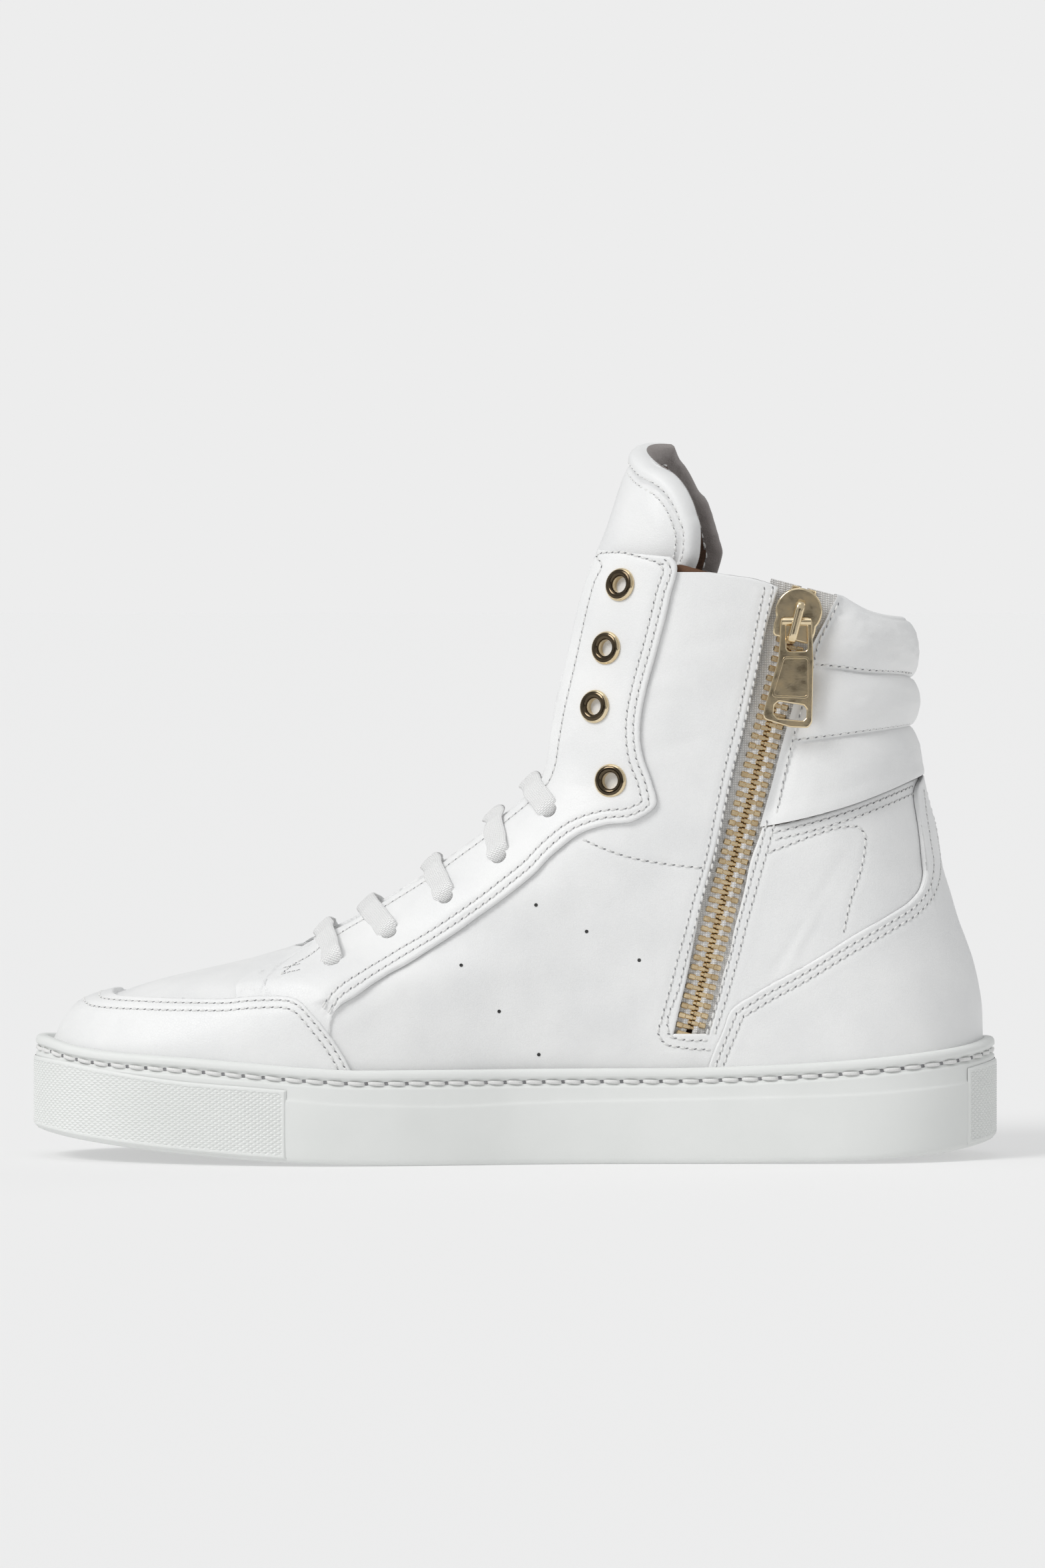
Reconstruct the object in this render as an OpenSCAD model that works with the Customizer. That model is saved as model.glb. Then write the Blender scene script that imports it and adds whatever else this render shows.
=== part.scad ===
/* High-top basketball shoe, right foot, with a side zip.
   Toe at -X, heel at +X, inner (zip) side at -Y, floor at Z = 0, millimetres.
   The upper is one smooth surface cut into panels; every layer is an offset of it. */

/* [Sole] */
// Distance from the upper's surface to the outside of the sole wall
wall_out = 5.5; // [4.5:0.1:6.5]
// Thickness of the rubber under the foot
sole_floor = 5.5; // [4:0.5:7]
// Thickness of the foam filler
filler_t = 8; // [5:0.5:9]
// Thickness of the insole board
board_t = 2; // [1:0.5:2.5]
// Thickness of the removable footbed
footbed_t = 4; // [2:0.5:5]
// Radius of the welt thread
welt_r = 0.6; // [0.4:0.1:0.8]

/* [Upper] */
// Thickness of the main leather panels
leather_t = 1.2; // [0.8:0.1:1.3]
// Height of the overlays' inner face over the main panels
lift = 0.6; // [0.5:0.1:0.9]
// Thickness of the overlay panels
overlay_t = 1.2; // [0.8:0.1:1.4]
// Thickness of the lining
lining_t = 0.8; // [0.5:0.1:0.9]
// Free space between neighbouring layers
gap = 0.3; // [0.3:0.05:0.4]
// How far the padded collar rolls stand out
roll_h = 2.2; // [1:0.2:3]
// Thickness of the collar foam
collar_pad_t = 6; // [3:0.5:7]

/* [Closure] */
// Diameter of the punched lace holes
hole_d = 5; // [4:0.2:5.6]
// Outside diameter of the metal eyelets
eyelet_d = 10.3; // [9:0.1:11]
// Width of the flat lace
lace_w = 7; // [5:0.5:8]
// Width over both rows of zip teeth
chain_w = 9; // [8:0.2:9.4]
// Tooth spacing along each row
tooth_pitch = 3.05; // [2.6:0.05:4]

/* [Tongue] */
// Thickness of the tongue padding
tongue_foam_t = 4; // [2:0.5:4.5]

/* [Hidden] */
$fn = 48;

// ---- Surface of the upper ---------------------------------------------------------------
// Shift that puts the finished shoe's box on the origin
centre = [0.6, -2.75];
// Front outline, height to x
front_t = [[5, -144], [28, -143.8], [34, -142.6], [38, -140.8], [43, -138.3], [46.3, -135.2],
  [48.6, -131], [51.4, -122], [54.5, -112], [57.6, -98.5], [60.4, -86], [63, -76.5], [66, -67.5],
  [70, -58.5], [74.5, -50.8], [80, -42], [86, -32.5], [92, -24], [98, -15.6], [104, -8], [110, -1.2],
  [116, 4], [122, 6], [130, 7], [137, 8.2], [146, 10.2], [155, 12.2], [163, 14], [171, 16],
  [179, 18.4], [187, 21.6], [196, 25.2], [206, 28.6], [214, 31.2], [222, 34]];
// Heel outline, height to x
back_t = [[5, 142], [28, 142.8], [40, 142.6], [46, 142.6], [53, 141.4], [60, 139.8], [66, 137.8],
  [72, 135.6], [81, 132.6], [90, 129.8], [100, 128.2], [110, 126.2], [120, 124.4], [134, 122.9],
  [150, 122.8], [163, 122], [180, 120], [222, 118]];
// Half widths at the sole line, x to y, inner and outer side
inner_t = [[-145, 38], [-120, 40.5], [-100, 43], [-80, 46], [-60, 48], [-40, 46.5], [-20, 43],
  [0, 39], [20, 36.6], [40, 35.8], [60, 35.6], [90, 36], [120, 35], [145, 33]];
outer_t = [[-145, 36], [-120, 38], [-100, 42], [-80, 48], [-60, 52], [-40, 53.5], [-20, 52],
  [0, 48.5], [20, 45], [40, 42], [60, 40.4], [90, 38.4], [120, 36], [145, 33]];
function ease(t) = let (c = max(0, min(1, t))) c * c * (3 - 2 * c);
function mix(a, b, t) = a + (b - a) * t;
function smooth(tb, x, w) = (lookup(x - w, tb) + 2 * lookup(x, tb) + lookup(x + w, tb)) / 4;
function front(z) = smooth(front_t, z, 2);
function back(z) = smooth(back_t, z, 3);
function round_front(z) = z < 50 ? mix(80, 105, ease((z - 35) / 15))
  : z < 90 ? mix(105, 72, ease((z - 60) / 25)) : mix(72, 60, ease((z - 100) / 30));
function end_f(d, r) = sqrt(max(0, 1 - pow(1 - max(0, min(1, d / r)), 3)));
function ankle(z) = 35.7 + (z - 40) * 0.0125;
function half(x, z, side) = mix(smooth(side < 0 ? inner_t : outer_t, x, 8),
  ankle(z) + (side < 0 ? 0 : 1.5), ease((z - 40) / 65));
// A point of the surface: a is the angle round the shoe, 0 at the toe, 180 at the heel,
// negative on the inner side; z is the height
function surf(a, z) = let (f = front(z), b = back(z), x = f + (b - f) * (1 - cos(a)) / 2,
    s = sin(a) < 0 ? -1 : 1, w = half(x, z, s))
  [x + centre[0], s * w * end_f(x - f, round_front(z)) * end_f(b - x, 50) + centre[1], z];
function unit(v) = v / norm(v);
function normal(a, z) = let (e = 2.5, p = surf(a - e, z), q = surf(a + e, z),
    r = surf(a, z - 1.5), s = surf(a, z + 1.5)) unit(cross(s - r, q - p));
// Moved out from the surface by d; a value below -50 means measured from the lining's outer face
function off(a, z, d) = surf(a, z) + (d < -50 ? d + 100 - depth(surf(a, z)[0], z) : d) * normal(a, z);
// Angle of the point at x on the given height and side
function ang(x, z, side) = let (f = front(z), b = back(z))
  side * acos(max(-1, min(1, 1 - 2 * (x - f) / (b - f))));
// Bottom line of the sole, and the line where the upper starts
bottom_t = [[-150, 10], [-130, 6.5], [-100, 3.2], [-60, 0.6], [-30, 0], [60, 0], [100, 0.8],
  [125, 2.4], [150, 7]];
rim_t = [[-150, 38], [-134, 35.4], [-124, 34.2], [-100, 32.8], [-80, 31.3], [-62, 29.9],
  [-47.5, 29.2], [45, 29.3], [72, 30], [100, 31.6], [124, 33.9], [137, 35.7], [144, 37.6], [150, 38]];
function sole_z(x) = smooth(bottom_t, x, 6);
function rim_z(x) = smooth(rim_t, x, 3);
function start_z(x) = sole_z(x) + sole_floor + filler_t + 0.3;

// ---- Solid builders -----------------------------------------------------------------------
// Closed shell over a grid of outer and inner points
module slab(outer, inner) {
  n = len(outer); m = len(outer[0]);
  k = n * m;
  pts = [for (r = outer) for (p = r) p, for (r = inner) for (p = r) p];
  faces = [
    for (i = [0:n - 2]) for (j = [0:m - 2]) let (a = i * m + j)
      each [[a, a + m + 1, a + 1], [a, a + m, a + m + 1]],
    for (i = [0:n - 2]) for (j = [0:m - 2]) let (a = k + i * m + j)
      each [[a, a + 1, a + m + 1], [a, a + m + 1, a + m]],
    for (i = [0:n - 2]) let (a = i * m) each [[a, k + a + m, a + m], [a, k + a, k + a + m]],
    for (i = [0:n - 2]) let (a = i * m + m - 1) each [[a, a + m, k + a + m], [a, k + a + m, k + a]],
    for (j = [0:m - 2]) each [[j, j + 1, k + j + 1], [j, k + j + 1, k + j]],
    for (j = [0:m - 2]) let (a = (n - 1) * m + j)
      each [[a, k + a + 1, a + 1], [a, k + a, k + a + 1]]];
  polyhedron(points = pts, faces = faces);
}
// Panel between two lists of [angle, height]; lo and hi are its inner and outer offset
module panel(A, B, nv, lo, hi) {
  n = len(A);
  grid = [for (i = [0:n - 1]) [for (j = [0:nv]) mix(A[i], B[i], j / nv)]];
  slab([for (r = grid) [for (q = r) off(q[0], q[1], hi)]],
       [for (r = grid) [for (q = r) off(q[0], q[1], lo)]]);
}
// Points of a hand-chosen outline, spread evenly by x or by height
function spread(tb, n) = [for (i = [0:n]) let (x = mix(tb[0][0], tb[len(tb) - 1][0], i / n)) [x, lookup(x, tb)]];

// ---- Sole -----------------------------------------------------------------------------------
plan_n = 72;
function plan(d) = [for (i = [0:plan_n - 1]) let (a = 360 * i / plan_n + 2.5, p = off(a, 24, d)) [p[0], p[1]]];
function line(f, dz) = [for (x = [-156:12:156]) [x, f == 0 ? sole_z(x) + dz : rim_z(x) + dz]];
module sole_band(lo_f, lo_dz, hi_f, hi_dz) {
  rotate([90, 0, 0]) linear_extrude(height = 140, center = true)
    polygon([each line(lo_f, lo_dz), for (i = [26:-1:0]) line(hi_f, hi_dz)[i]]);
}
module plan_block(d, z0, z1) { translate([0, 0, z0]) linear_extrude(height = z1 - z0) polygon(plan(d)); }
module cupsole() {
  color("#e9eae6") difference() {
    intersection() { plan_block(wall_out, -1, 45); sole_band(0, 0, 1, 0); }
    intersection() { plan_block(2.4, 0, 60); sole_band(0, sole_floor, 1, 12); }
  }
}
module sole_filler() {
  color("#d8c9a8") intersection() { plan_block(1.6, 0, 60); sole_band(0, sole_floor, 0, sole_floor + filler_t); }
}
module insole_board() {
  color("#b99b6b") intersection() {
    plan_block(-4.6, 0, 60);
    sole_band(0, sole_floor + filler_t, 0, sole_floor + filler_t + board_t);
  }
}
module footbed() {
  color("#e5e0d6") intersection() {
    plan_block(-4.8, 0, 60);
    sole_band(0, sole_floor + filler_t + board_t, 0, sole_floor + filler_t + board_t + footbed_t);
  }
}
// Thread that runs in the wall just under the rim, all the way round
module sole_stitching() {
  P = [for (i = [0:plan_n - 1]) let (a = 360 * i / plan_n + 2.5, p = off(a, 24, wall_out + welt_r + 0.05),
      q = off(a + 1, 24, wall_out), r = off(a - 1, 24, wall_out), t = q - r, o = unit([t[1], -t[0], 0]))
    [[p[0], p[1], rim_z(p[0]) - 4], o]];
  pts = [for (s = P) for (k = [0:5]) s[0] + welt_r * (cos(60 * k) * s[1] + sin(60 * k) * [0, 0, 1])];
  n = plan_n;
  color("#f4f3ee") polyhedron(points = pts, faces = [for (i = [0:n - 1]) for (k = [0:5])
    let (a = i * 6 + k, b = i * 6 + (k + 1) % 6, c = ((i + 1) % n) * 6 + k, d = ((i + 1) % n) * 6 + (k + 1) % 6)
    each [[a, d, c], [a, b, d]]]);
}

// ---- Panels of the upper --------------------------------------------------------------------
vamp_x = -61;
// Edge of the throat: the gap between the two eyestays
throat_y = 17;
function throat_x(z) = front(z) + 4.6;
// Toe overlay: upper edge from the inner side round the toe to the outer side
mud_t = [[-128, 50.6], [-114, 49.2], [-100, 49.4], [-89, 49.7], [-78.5, 50.7], [-72.3, 50.9], [-68.2, 50.4],
  [-65, 48.8], [-62, 45.7], [-58.9, 42.1], [-55.8, 38], [-53.2, 33.9], [-51, 29.7]];
function mud_side(s) = let (xs = [-121, -115, -109, -103, -97, -91, -84, -78, -72.3, -68.2, -65, -62, -58.9,
    -55.8, -53.2, -51, -46]) [for (x = xs) let (z = x > -50.9 ? start_z(x) + 2 : lookup(x, mud_t)) [ang(x, z, s), z]];
mud_top = [for (i = [16:-1:0]) mud_side(-1)[i], [-7, 50.5], [0, 50.7], [7, 50.5], each mud_side(1)];
mud_n = len(mud_top);
function mud_bottom(i) = let (u = abs(i / (mud_n - 1) * 2 - 1), s = i < mud_n / 2 ? -1 : 1,
    x = mix(-143.4, -46, pow(u, 1.5)), z = start_z(x)) u < 0.001 ? [0, z] : [ang(x, z, s), z];
module mudguard() {
  color("#f6f6f4") panel([for (i = [0:mud_n - 1]) mud_bottom(i)], mud_top, 9, gap, gap + overlay_t);
}
// The vamp and what lies under it, as rows that cross the toe
module toe_shell(x1, z1, n, lo, hi) {
  zs = [for (i = [0:n]) mix(0, 1, i / n)];
  rows = [for (t = zs) let (za = mix(start_z(x1), z1, t), zf = mix(start_z(-140), z1, pow(t, 0.62)))
    [for (j = [-9:9]) let (u = j / 9, s = u < 0 ? -1 : 1, z = mix(zf, za, pow(abs(u), 1.2)),
      am = abs(ang(x1, za, s)) * u) [am, max(z, start_z(surf(am, z)[0]) + 0.4)]]];
  slab([for (j = [0:18]) [for (r = rows) off(r[j][0], r[j][1], hi)]],
       [for (j = [0:18]) [for (r = rows) off(r[j][0], r[j][1], lo)]]);
}
module vamp() { color("#f7f7f5") toe_shell(vamp_x, 65.5, 12, -leather_t, 0); }
module toe_puff() { color("#cfc5b4") toe_shell(-96, 55.5, 9, -leather_t - gap - 0.8, -leather_t - gap); }
module vamp_lining() {
  color("#cfc8bd") toe_shell(vamp_x, 60, 12, -leather_t - 2 * gap - 0.8 - lining_t, -leather_t - 2 * gap - 0.8);
}

// Straight line of the zip, seen from the side, at its two ends
zip_a = [52.9, 40.4];
zip_b = [87, 172];
function zip_x(z) = zip_a[0] + (z - zip_a[1]) * (zip_b[0] - zip_a[0]) / (zip_b[1] - zip_a[1]);
// Rear edge of the zip opening, height to x; it opens out near the top
open_t = [[10, 59.2], [40, 59.2], [60, 64.5], [100, 74.9], [130, 82.6], [146, 86.6], [157, 90], [167, 94.4], [176, 98]];
function rear_edge(z) = lookup(z, open_t) + 0.8;
edge_open = [for (p = open_t) [p[0], p[1] + 0.8]];
// Top line of the shoe, x to height, from the eyestay back to the heel
top_t = [[20, 188], [49, 184.2], [53, 182.1], [59, 180.7], [65, 180.3], [72, 179.2], [80, 176.8],
  [98, 173.4], [110, 168.4], [116, 166.8], [122, 166], [130, 165.6]];
// The same edge as height to x, for rows
edge_t = [[165.6, 126], [166.8, 116], [168.4, 110], [173.4, 98], [176.8, 80], [179.2, 72],
  [180.3, 65], [182.1, 53], [184.2, 49], [188, 24]];
function behind(z) = lookup(z, edge_t);
// Side panel from x0[i] to x1[i] at the heights zs, as rows from its lower edge up
module side_rows(zs, x0, x1, s, m, lo, hi) {
  n = len(zs);
  g = [for (i = [0:n - 1]) [for (j = [0:m]) let (x = mix(x0[i], x1[i], j / m),
      z = i == 0 ? start_z(x) : i == 1 ? mix(start_z(x), zs[2], 0.5) : zs[i]) [ang(x, z, s), z]]];
  cols = s < 0 ? [for (j = [m:-1:0]) j] : [for (j = [0:m]) j];
  slab([for (j = cols) [for (i = [0:n - 1]) off(g[i][j][0], g[i][j][1], hi)]],
       [for (j = cols) [for (i = [0:n - 1]) off(g[i][j][0], g[i][j][1], lo)]]);
}
front_z = [14, 24, 34, 39.4, 39.9, 48, 57, 65, 73, 82, 91, 100, 110, 118, 127, 137, 147, 157, 167, 176.8, 180.3, 184.2];
function front_x(z, d) = z < 57 ? vamp_x + 0.5 + d : max(vamp_x + 0.5 + d, throat_x(z) + d);
// Rear end of the front panels: below the zip it runs on to the rear panel
function front_end(z, s) = z < 39.6 || s > 0 ? min(rear_edge(z) - 1.1, behind(z)) : min(zip_x(z) - 6.4, behind(z));
module quarter_inner_front() {
  color("#f7f7f5") holed(-1) side_rows(front_z, [for (z = front_z) front_x(z, 0.3)],
    [for (z = front_z) front_end(z, -1)], -1, 11, -leather_t, 0);
}
module quarter_outer_front() {
  color("#f7f7f5") holed(1) side_rows(front_z, [for (z = front_z) front_x(z, 0.3)],
    [for (z = front_z) front_end(z, 1)], 1, 11, -leather_t, 0);
}
// Lower edge of the padded collar, x to height
pad_low_t = [[40, 98], [60, 99.5], [79, 103.4], [99, 108.7], [113, 113.6], [121, 116.6], [127, 118.4]];
// Panel that reaches the middle of the heel: columns from the lower edge up to line tb
module back_cols(s, xs, tb, zref, nz, m, lo, hi, full = 179.7) {
  cols = [for (j = [0:m]) [for (i = [0:nz]) let (v = i / nz, zt0 = lookup(lookup(zref, xs), tb),
      a0 = abs(ang(lookup(mix(16, zt0, v), xs), mix(16, zt0, v), s)), a = mix(a0, full, j / m),
      xt = surf(a, zt0)[0], zt = lookup(xt, tb), z0 = start_z(surf(a, 20)[0]))
    [s * a, mix(z0, zt, v)]]];
  c = s < 0 ? [for (j = [m:-1:0]) j] : [for (j = [0:m]) j];
  slab([for (j = c) [for (q = cols[j]) off(q[0], q[1], hi)]],
       [for (j = c) [for (q = cols[j]) off(q[0], q[1], lo)]]);
}
module quarter_inner_rear() { color("#f7f7f5") back_cols(-1, edge_open, pad_low_t, 103, 10, 11, -leather_t, 0); }
module quarter_outer_rear() { color("#f7f7f5") back_cols(1, edge_open, pad_low_t, 103, 10, 11, -leather_t, 0); }

// Eyestay: matching points along the throat edge and along the rear edge
stay_a = [[-77.8, 51.7], [-76.5, 54.5], [-73.5, 58.2], [-69.2, 61.2], [-64.2, 63.8]];
stay_az = [67.5, 69.5, 72, 76, 81, 86, 92, 98, 104, 110, 116, 121, 126, 131, 138, 146, 154, 162, 170, 178, 184, 187.6];
stay_b = [[-77.2, 51.4], [-73.5, 51.5], [-69, 51.3], [-64.4, 49.2], [-60.3, 44.8], [-57.2, 41.4], [-56.4, 45.6],
  [-52.5, 49.6], [-46, 53.7], [-36, 59.6], [-25, 66.2], [-14, 73.8], [-4, 80.8], [5, 88], [12, 95],
  [18.8, 100.4], [27, 103.5], [36, 104.9], [42, 108.8], [41.6, 116], [38.6, 125], [37.9, 134], [40, 146],
  [43.5, 159], [47, 173], [49, 183.5], [47.6, 185.5]];
function stay_A() = [each stay_a, for (z = stay_az) [throat_x(z), z]];
module eyestay(s) {
  A = [for (p = stay_A()) [ang(p[0], p[1], s), p[1]]];
  B = [for (p = stay_b) [ang(p[0], p[1], s), p[1]]];
  color("#fafaf8") holed(s) if (s > 0) panel(B, A, 7, lift, lift + overlay_t);
    else panel(A, B, 7, lift, lift + overlay_t);
}
module eyestay_inner() { eyestay(-1); }
module eyestay_outer() { eyestay(1); }

// Heel overlay with the strip that climbs the heel
heel_b = [[58.8, 27.5], [61, 35.9], [63.6, 42.1], [66.5, 48.6], [75.4, 53.5], [85.8, 59.2], [100.2, 68], [113.7, 75.7],
  [121.9, 81.4], [124.8, 86.5], [124.1, 97], [122.8, 109]];
heel_a = [58.6, 61, 64, 70, 80, 90, 102, 112, 120, 127, 131.5, 135];
module heel_counter_cover() {
  t = [0.25, 0.5, 0.75];
  at0 = ang(heel_b[11][0], heel_b[11][1], -1);
  ab0 = ang(135, start_z(135), -1);
  top = [for (p = heel_b) [ang(p[0], p[1], -1), p[1]], for (u = t) [mix(at0, -180, u), mix(109, 117.2, sqrt(u))]];
  bot = [for (x = heel_a) [ang(x, start_z(x) + 0.3, -1), start_z(x) + 0.3],
    for (u = t) [mix(ab0, -180, u), start_z(mix(135, 142, u)) + 0.3]];
  n = len(top);
  T = [each top, [-180, 117.2], for (i = [n - 1:-1:0]) [-360 - top[i][0], top[i][1]]];
  B = [each bot, [-180, start_z(142) + 0.3], for (i = [n - 1:-1:0]) [-360 - bot[i][0], bot[i][1]]];
  color("#fafaf8") panel(T, B, 9, lift, lift + overlay_t);
}

// ---- Collar ------------------------------------------------------------------------------------
seam2_t = [[84, 128.5], [110, 131.9], [123, 133.4]];
seam1_t = [[90, 151.8], [98, 151.2], [106.7, 150.1], [120, 149.2], [123, 148.1]];
// Depth of the lining's outer face below the surface
function padding(x, z) = collar_pad_t * ease((x - rear_edge(z)) / 16) * ease((z - 98) / 14);
function depth(x, z) = leather_t + gap + 1.9 * ease((x - 78) / 12) * (1 - ease((z - 90) / 10)) + padding(x, z)
  + (padding(x, z) > 0.01 ? gap : 0);
// Levels of the collar over angle a: its lower edge, the two seams, its top edge
function level(a, k) = let (x = surf(a, [110, 132, 150, 168][k])[0])
  k == 0 ? lookup(x, pad_low_t) + 0.4 : k == 1 ? lookup(x, seam2_t) : k == 2 ? lookup(x, seam1_t) : lookup(x, top_t);
function bulge(a, z, v) = roll_h * pow(sin(180 * (v - floor(v))), 0.8) * ease((surf(a, z)[0] - rear_edge(z)) / 14);
module collar_shell(a0f, nv, lo, hi, top) {
  m = 18;
  g = [for (j = [0:m]) let (s = j / m * 2 - 1) [for (i = [0:3 * nv]) let (v = i / nv, k = min(2, floor(v)), 
      zr = mix([103, 128, 151][k], [128, 151, top][k], v - k),
      a1 = abs(ang(rear_edge(zr) + a0f, zr, 1)), a = a1 + (180 - a1) * (1 - abs(s)),
      z = mix(level(a, k), k == 2 ? level(a, 3) - (174 - top) : level(a, k + 1), v - k)) [s < 0 ? a : 360 - a, z, v]]];
  slab([for (r = g) [for (q = r) off(q[0], q[1], hi + bulge(q[0], q[1], q[2]))]],
       [for (r = g) [for (q = r) off(q[0], q[1], lo < -50 ? lo : lo + bulge(q[0], q[1], q[2]))]]);
}
module collar_cover() { color("#f7f7f5") collar_shell(0.3, 4, -leather_t, 0, 174); }
module collar_foam() {
  color("#ead9a0") collar_shell(10, 3, -99.1, -leather_t - 0.35, 171.5);
}
module heel_stiffener() {
  color("#b7a98f") {
    zs = [for (i = [0:6]) i / 6];
    g = [for (j = [0:16]) let (s = j / 8 - 1) [for (v = zs) let (a0 = abs(ang(94, mix(18, 86, v), 1)),
      a = a0 + (180 - a0) * (1 - abs(s)), z0 = start_z(surf(a, 20)[0])) [s < 0 ? a : 360 - a, mix(z0, 86, v)]]];
    slab([for (r = g) [for (q = r) off(q[0], q[1], -leather_t - gap)]],
         [for (r = g) [for (q = r) off(q[0], q[1], -leather_t - gap - 1.5)]]);
  }
}

// ---- Linings -----------------------------------------------------------------------------------
lin_lo = -100 - lining_t;
module lining_inner_front() {
  color("#cfc8bd") holed(-1) side_rows(front_z, [for (z = front_z) front_x(z, 1)],
    [for (z = front_z) min(front_end(z, -1), zip_x(z) - 10.4)], -1, 11, lin_lo, -100);
}
lin_top_t = [[60, 178], [80, 175.6], [98, 172.2], [110, 167.4], [116, 165.8], [130, 164.6]];
lin_open_t = [[10, 62.5], for (z = [30:10:180]) [z, zip_x(z) + 12.8]];
module lining_inner_rear() { color("#cfc8bd") back_cols(-1, lin_open_t, lin_top_t, 172, 15, 11, lin_lo, -100); }
module lining_outer_front() {
  color("#cfc8bd") holed(1) {
    side_rows(front_z, [for (z = front_z) front_x(z, 1)],
      [for (z = front_z) min(rear_edge(z) - 1.1, behind(z))], 1, 11, lin_lo, -100);
  }
}
module lining_outer_rear() { color("#cfc8bd") back_cols(1, edge_open, lin_top_t, 172, 15, 11, lin_lo, -100); }

// ---- Eyelets and lace holes ----------------------------------------------------------------------
lace_p = [[-56.3, 60.2], [-38.7, 69.3], [-21.3, 80.5], [-4.7, 92.5], [10.8, 107]];
eyelet_p = [[29.2, 117], [24.7, 139.6], [28.1, 157.6], [32.8, 176.8]];
// Frame with Z along the outward normal at a point of the upper
module at(x, z, s) {
  a = ang(x, z, s); n = normal(a, z); p = surf(a, z);
  u = unit(cross([0, 0, 1], n)); v = cross(n, u);
  multmatrix([[u[0], v[0], n[0], p[0]], [u[1], v[1], n[1], p[1]], [u[2], v[2], n[2], p[2]]]) children();
}
module holed(s) {
  difference() {
    children();
    for (p = lace_p) at(p[0], p[1], s) translate([0, 0, -6]) cylinder(h = 10, d = hole_d);
    for (p = eyelet_p) at(p[0], p[1], s) translate([0, 0, -6]) cylinder(h = 10, d = 6.6);
  }
}
module ring(od, id, z0, t) { translate([0, 0, z0]) difference() { cylinder(h = t, d = od); translate([0, 0, -1]) cylinder(h = t + 2, d = id); } }
module eyelets(s) {
  color("#c9a86a") for (p = eyelet_p) at(p[0], p[1], s) {
    ring(eyelet_d, 5.2, lift + overlay_t + 0.35, 0.8);
    ring(6.1, 5.2, -3.6, lift + overlay_t + 4.1);
  }
}
module eyelets_inner() { eyelets(-1); }
module eyelets_outer() { eyelets(1); }
module washers(s) { color("#b99a5e") for (p = eyelet_p) at(p[0], p[1], s) ring(9, 6.4, -leather_t - gap - lining_t - 1.1, 0.5); }
module eyelet_washers_inner() { washers(-1); }
module eyelet_washers_outer() { washers(1); }

// ---- Zip -------------------------------------------------------------------------------------------
zp = surf(ang(zip_a[0], zip_a[1], -1), zip_a[1]);
zq = surf(ang(zip_b[0], zip_b[1], -1), zip_b[1]);
zd = unit(zq - zp);
zn0 = normal(ang(zip_x(105), 105, -1), 105);
zn = unit(zn0 - (zn0 * zd) * zd);
zl = cross(zd, zn);
// Frame of the zip: X across towards the heel, Y into the shoe, Z up the chain from its lower end
module on_zip() { multmatrix([[zl[0], -zn[0], zd[0], zp[0]], [zl[1], -zn[1], zd[1], zp[1]], [zl[2], -zn[2], zd[2], zp[2]]]) children(); }
tape_top = 140.5;
module tape(s) {
  color("#b9b6b2") on_zip() mirror([s < 0 ? 1 : 0, 0, 0]) translate([2, 2.2, -4]) cube([6.4, 0.7, tape_top + 4]);
}
module zip_tape_front() { tape(-1); }
module zip_tape_rear() { tape(1); }
teeth_n = floor(136 / tooth_pitch);
module tooth() {
  difference() {
    translate([0.65, 1.35, 0]) cube([chain_w / 2 - 0.65, 2.4, 1.5]);
    translate([1.95, 2.15, -1]) cube([8, 0.8, 4]);
  }
}
module teeth(s) {
  color("#c9a86a") on_zip() for (i = [0:teeth_n - 1])
    translate([0, 0, 0.2 + (i + (s < 0 ? 0 : 0.5)) * tooth_pitch]) mirror([s < 0 ? 1 : 0, 0, 0]) tooth();
}
module zip_teeth_front() { teeth(-1); }
module zip_teeth_rear() { teeth(1); }
module zip_top_stops() {
  color("#c9a86a") on_zip() for (s = [0, 1]) mirror([s, 0, 0]) translate([0, 0, 138.2]) difference() {
    translate([1.2, 1.4, 0]) cube([2.4, 2.3, 1.8]);
    translate([1.95, 2.15, -1]) cube([8, 0.8, 4]);
  }
}
module zip_bottom_stop() { color("#c9a86a") on_zip() translate([-3.6, 1.2, -2.6]) cube([7.2, 0.95, 2]); }
// Leather strips behind the tape that take the second row of stitching
module facing(s) {
  color("#d6cfc4") on_zip() mirror([s < 0 ? 1 : 0, 0, 0]) translate([6.2, 3, -5]) cube([3, 0.7, 139]);
}
module zip_facing_front() { facing(-1); }
module zip_facing_rear() { facing(1); }

// Slider at its rest place at the top of the zip
sl0 = 123.8;
sl1 = 137.4;
module slider_body() {
  color("#cfae70") on_zip() {
    difference() {
      union() {
        translate([-5.5, -1.3, sl0]) cube([11, 6.6, sl1 - sl0]);
        hull() {
          translate([0, -1.3, 132.9]) rotate([90, 0, 0]) cylinder(h = 1.6, r = 7.15);
          translate([-6, -2.9, 124]) cube([12, 1.6, 2]);
        }
      }
      translate([-4.8, 1.05, sl0 - 1]) cube([9.6, 3, 20]);
      translate([-8, 1.9, sl0 - 1]) cube([16, 1.3, 20]);
    }
    translate([-0.3, 1, 132]) cube([0.6, 3.1, sl1 - 132]);
  }
}
br0 = 123.6;
br1 = 134.6;
module slider_bridge() {
  color("#e3c791") on_zip() {
    translate([-1.1, -7.9, br0]) cube([2.2, 1.2, br1 - br0]);
    translate([-1.1, -7.9, br0]) cube([2.2, 4.98, 1.5]);
    translate([-1.1, -7.9, br1 - 1.5]) cube([2.2, 4.98, 1.5]);
  }
}
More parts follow.
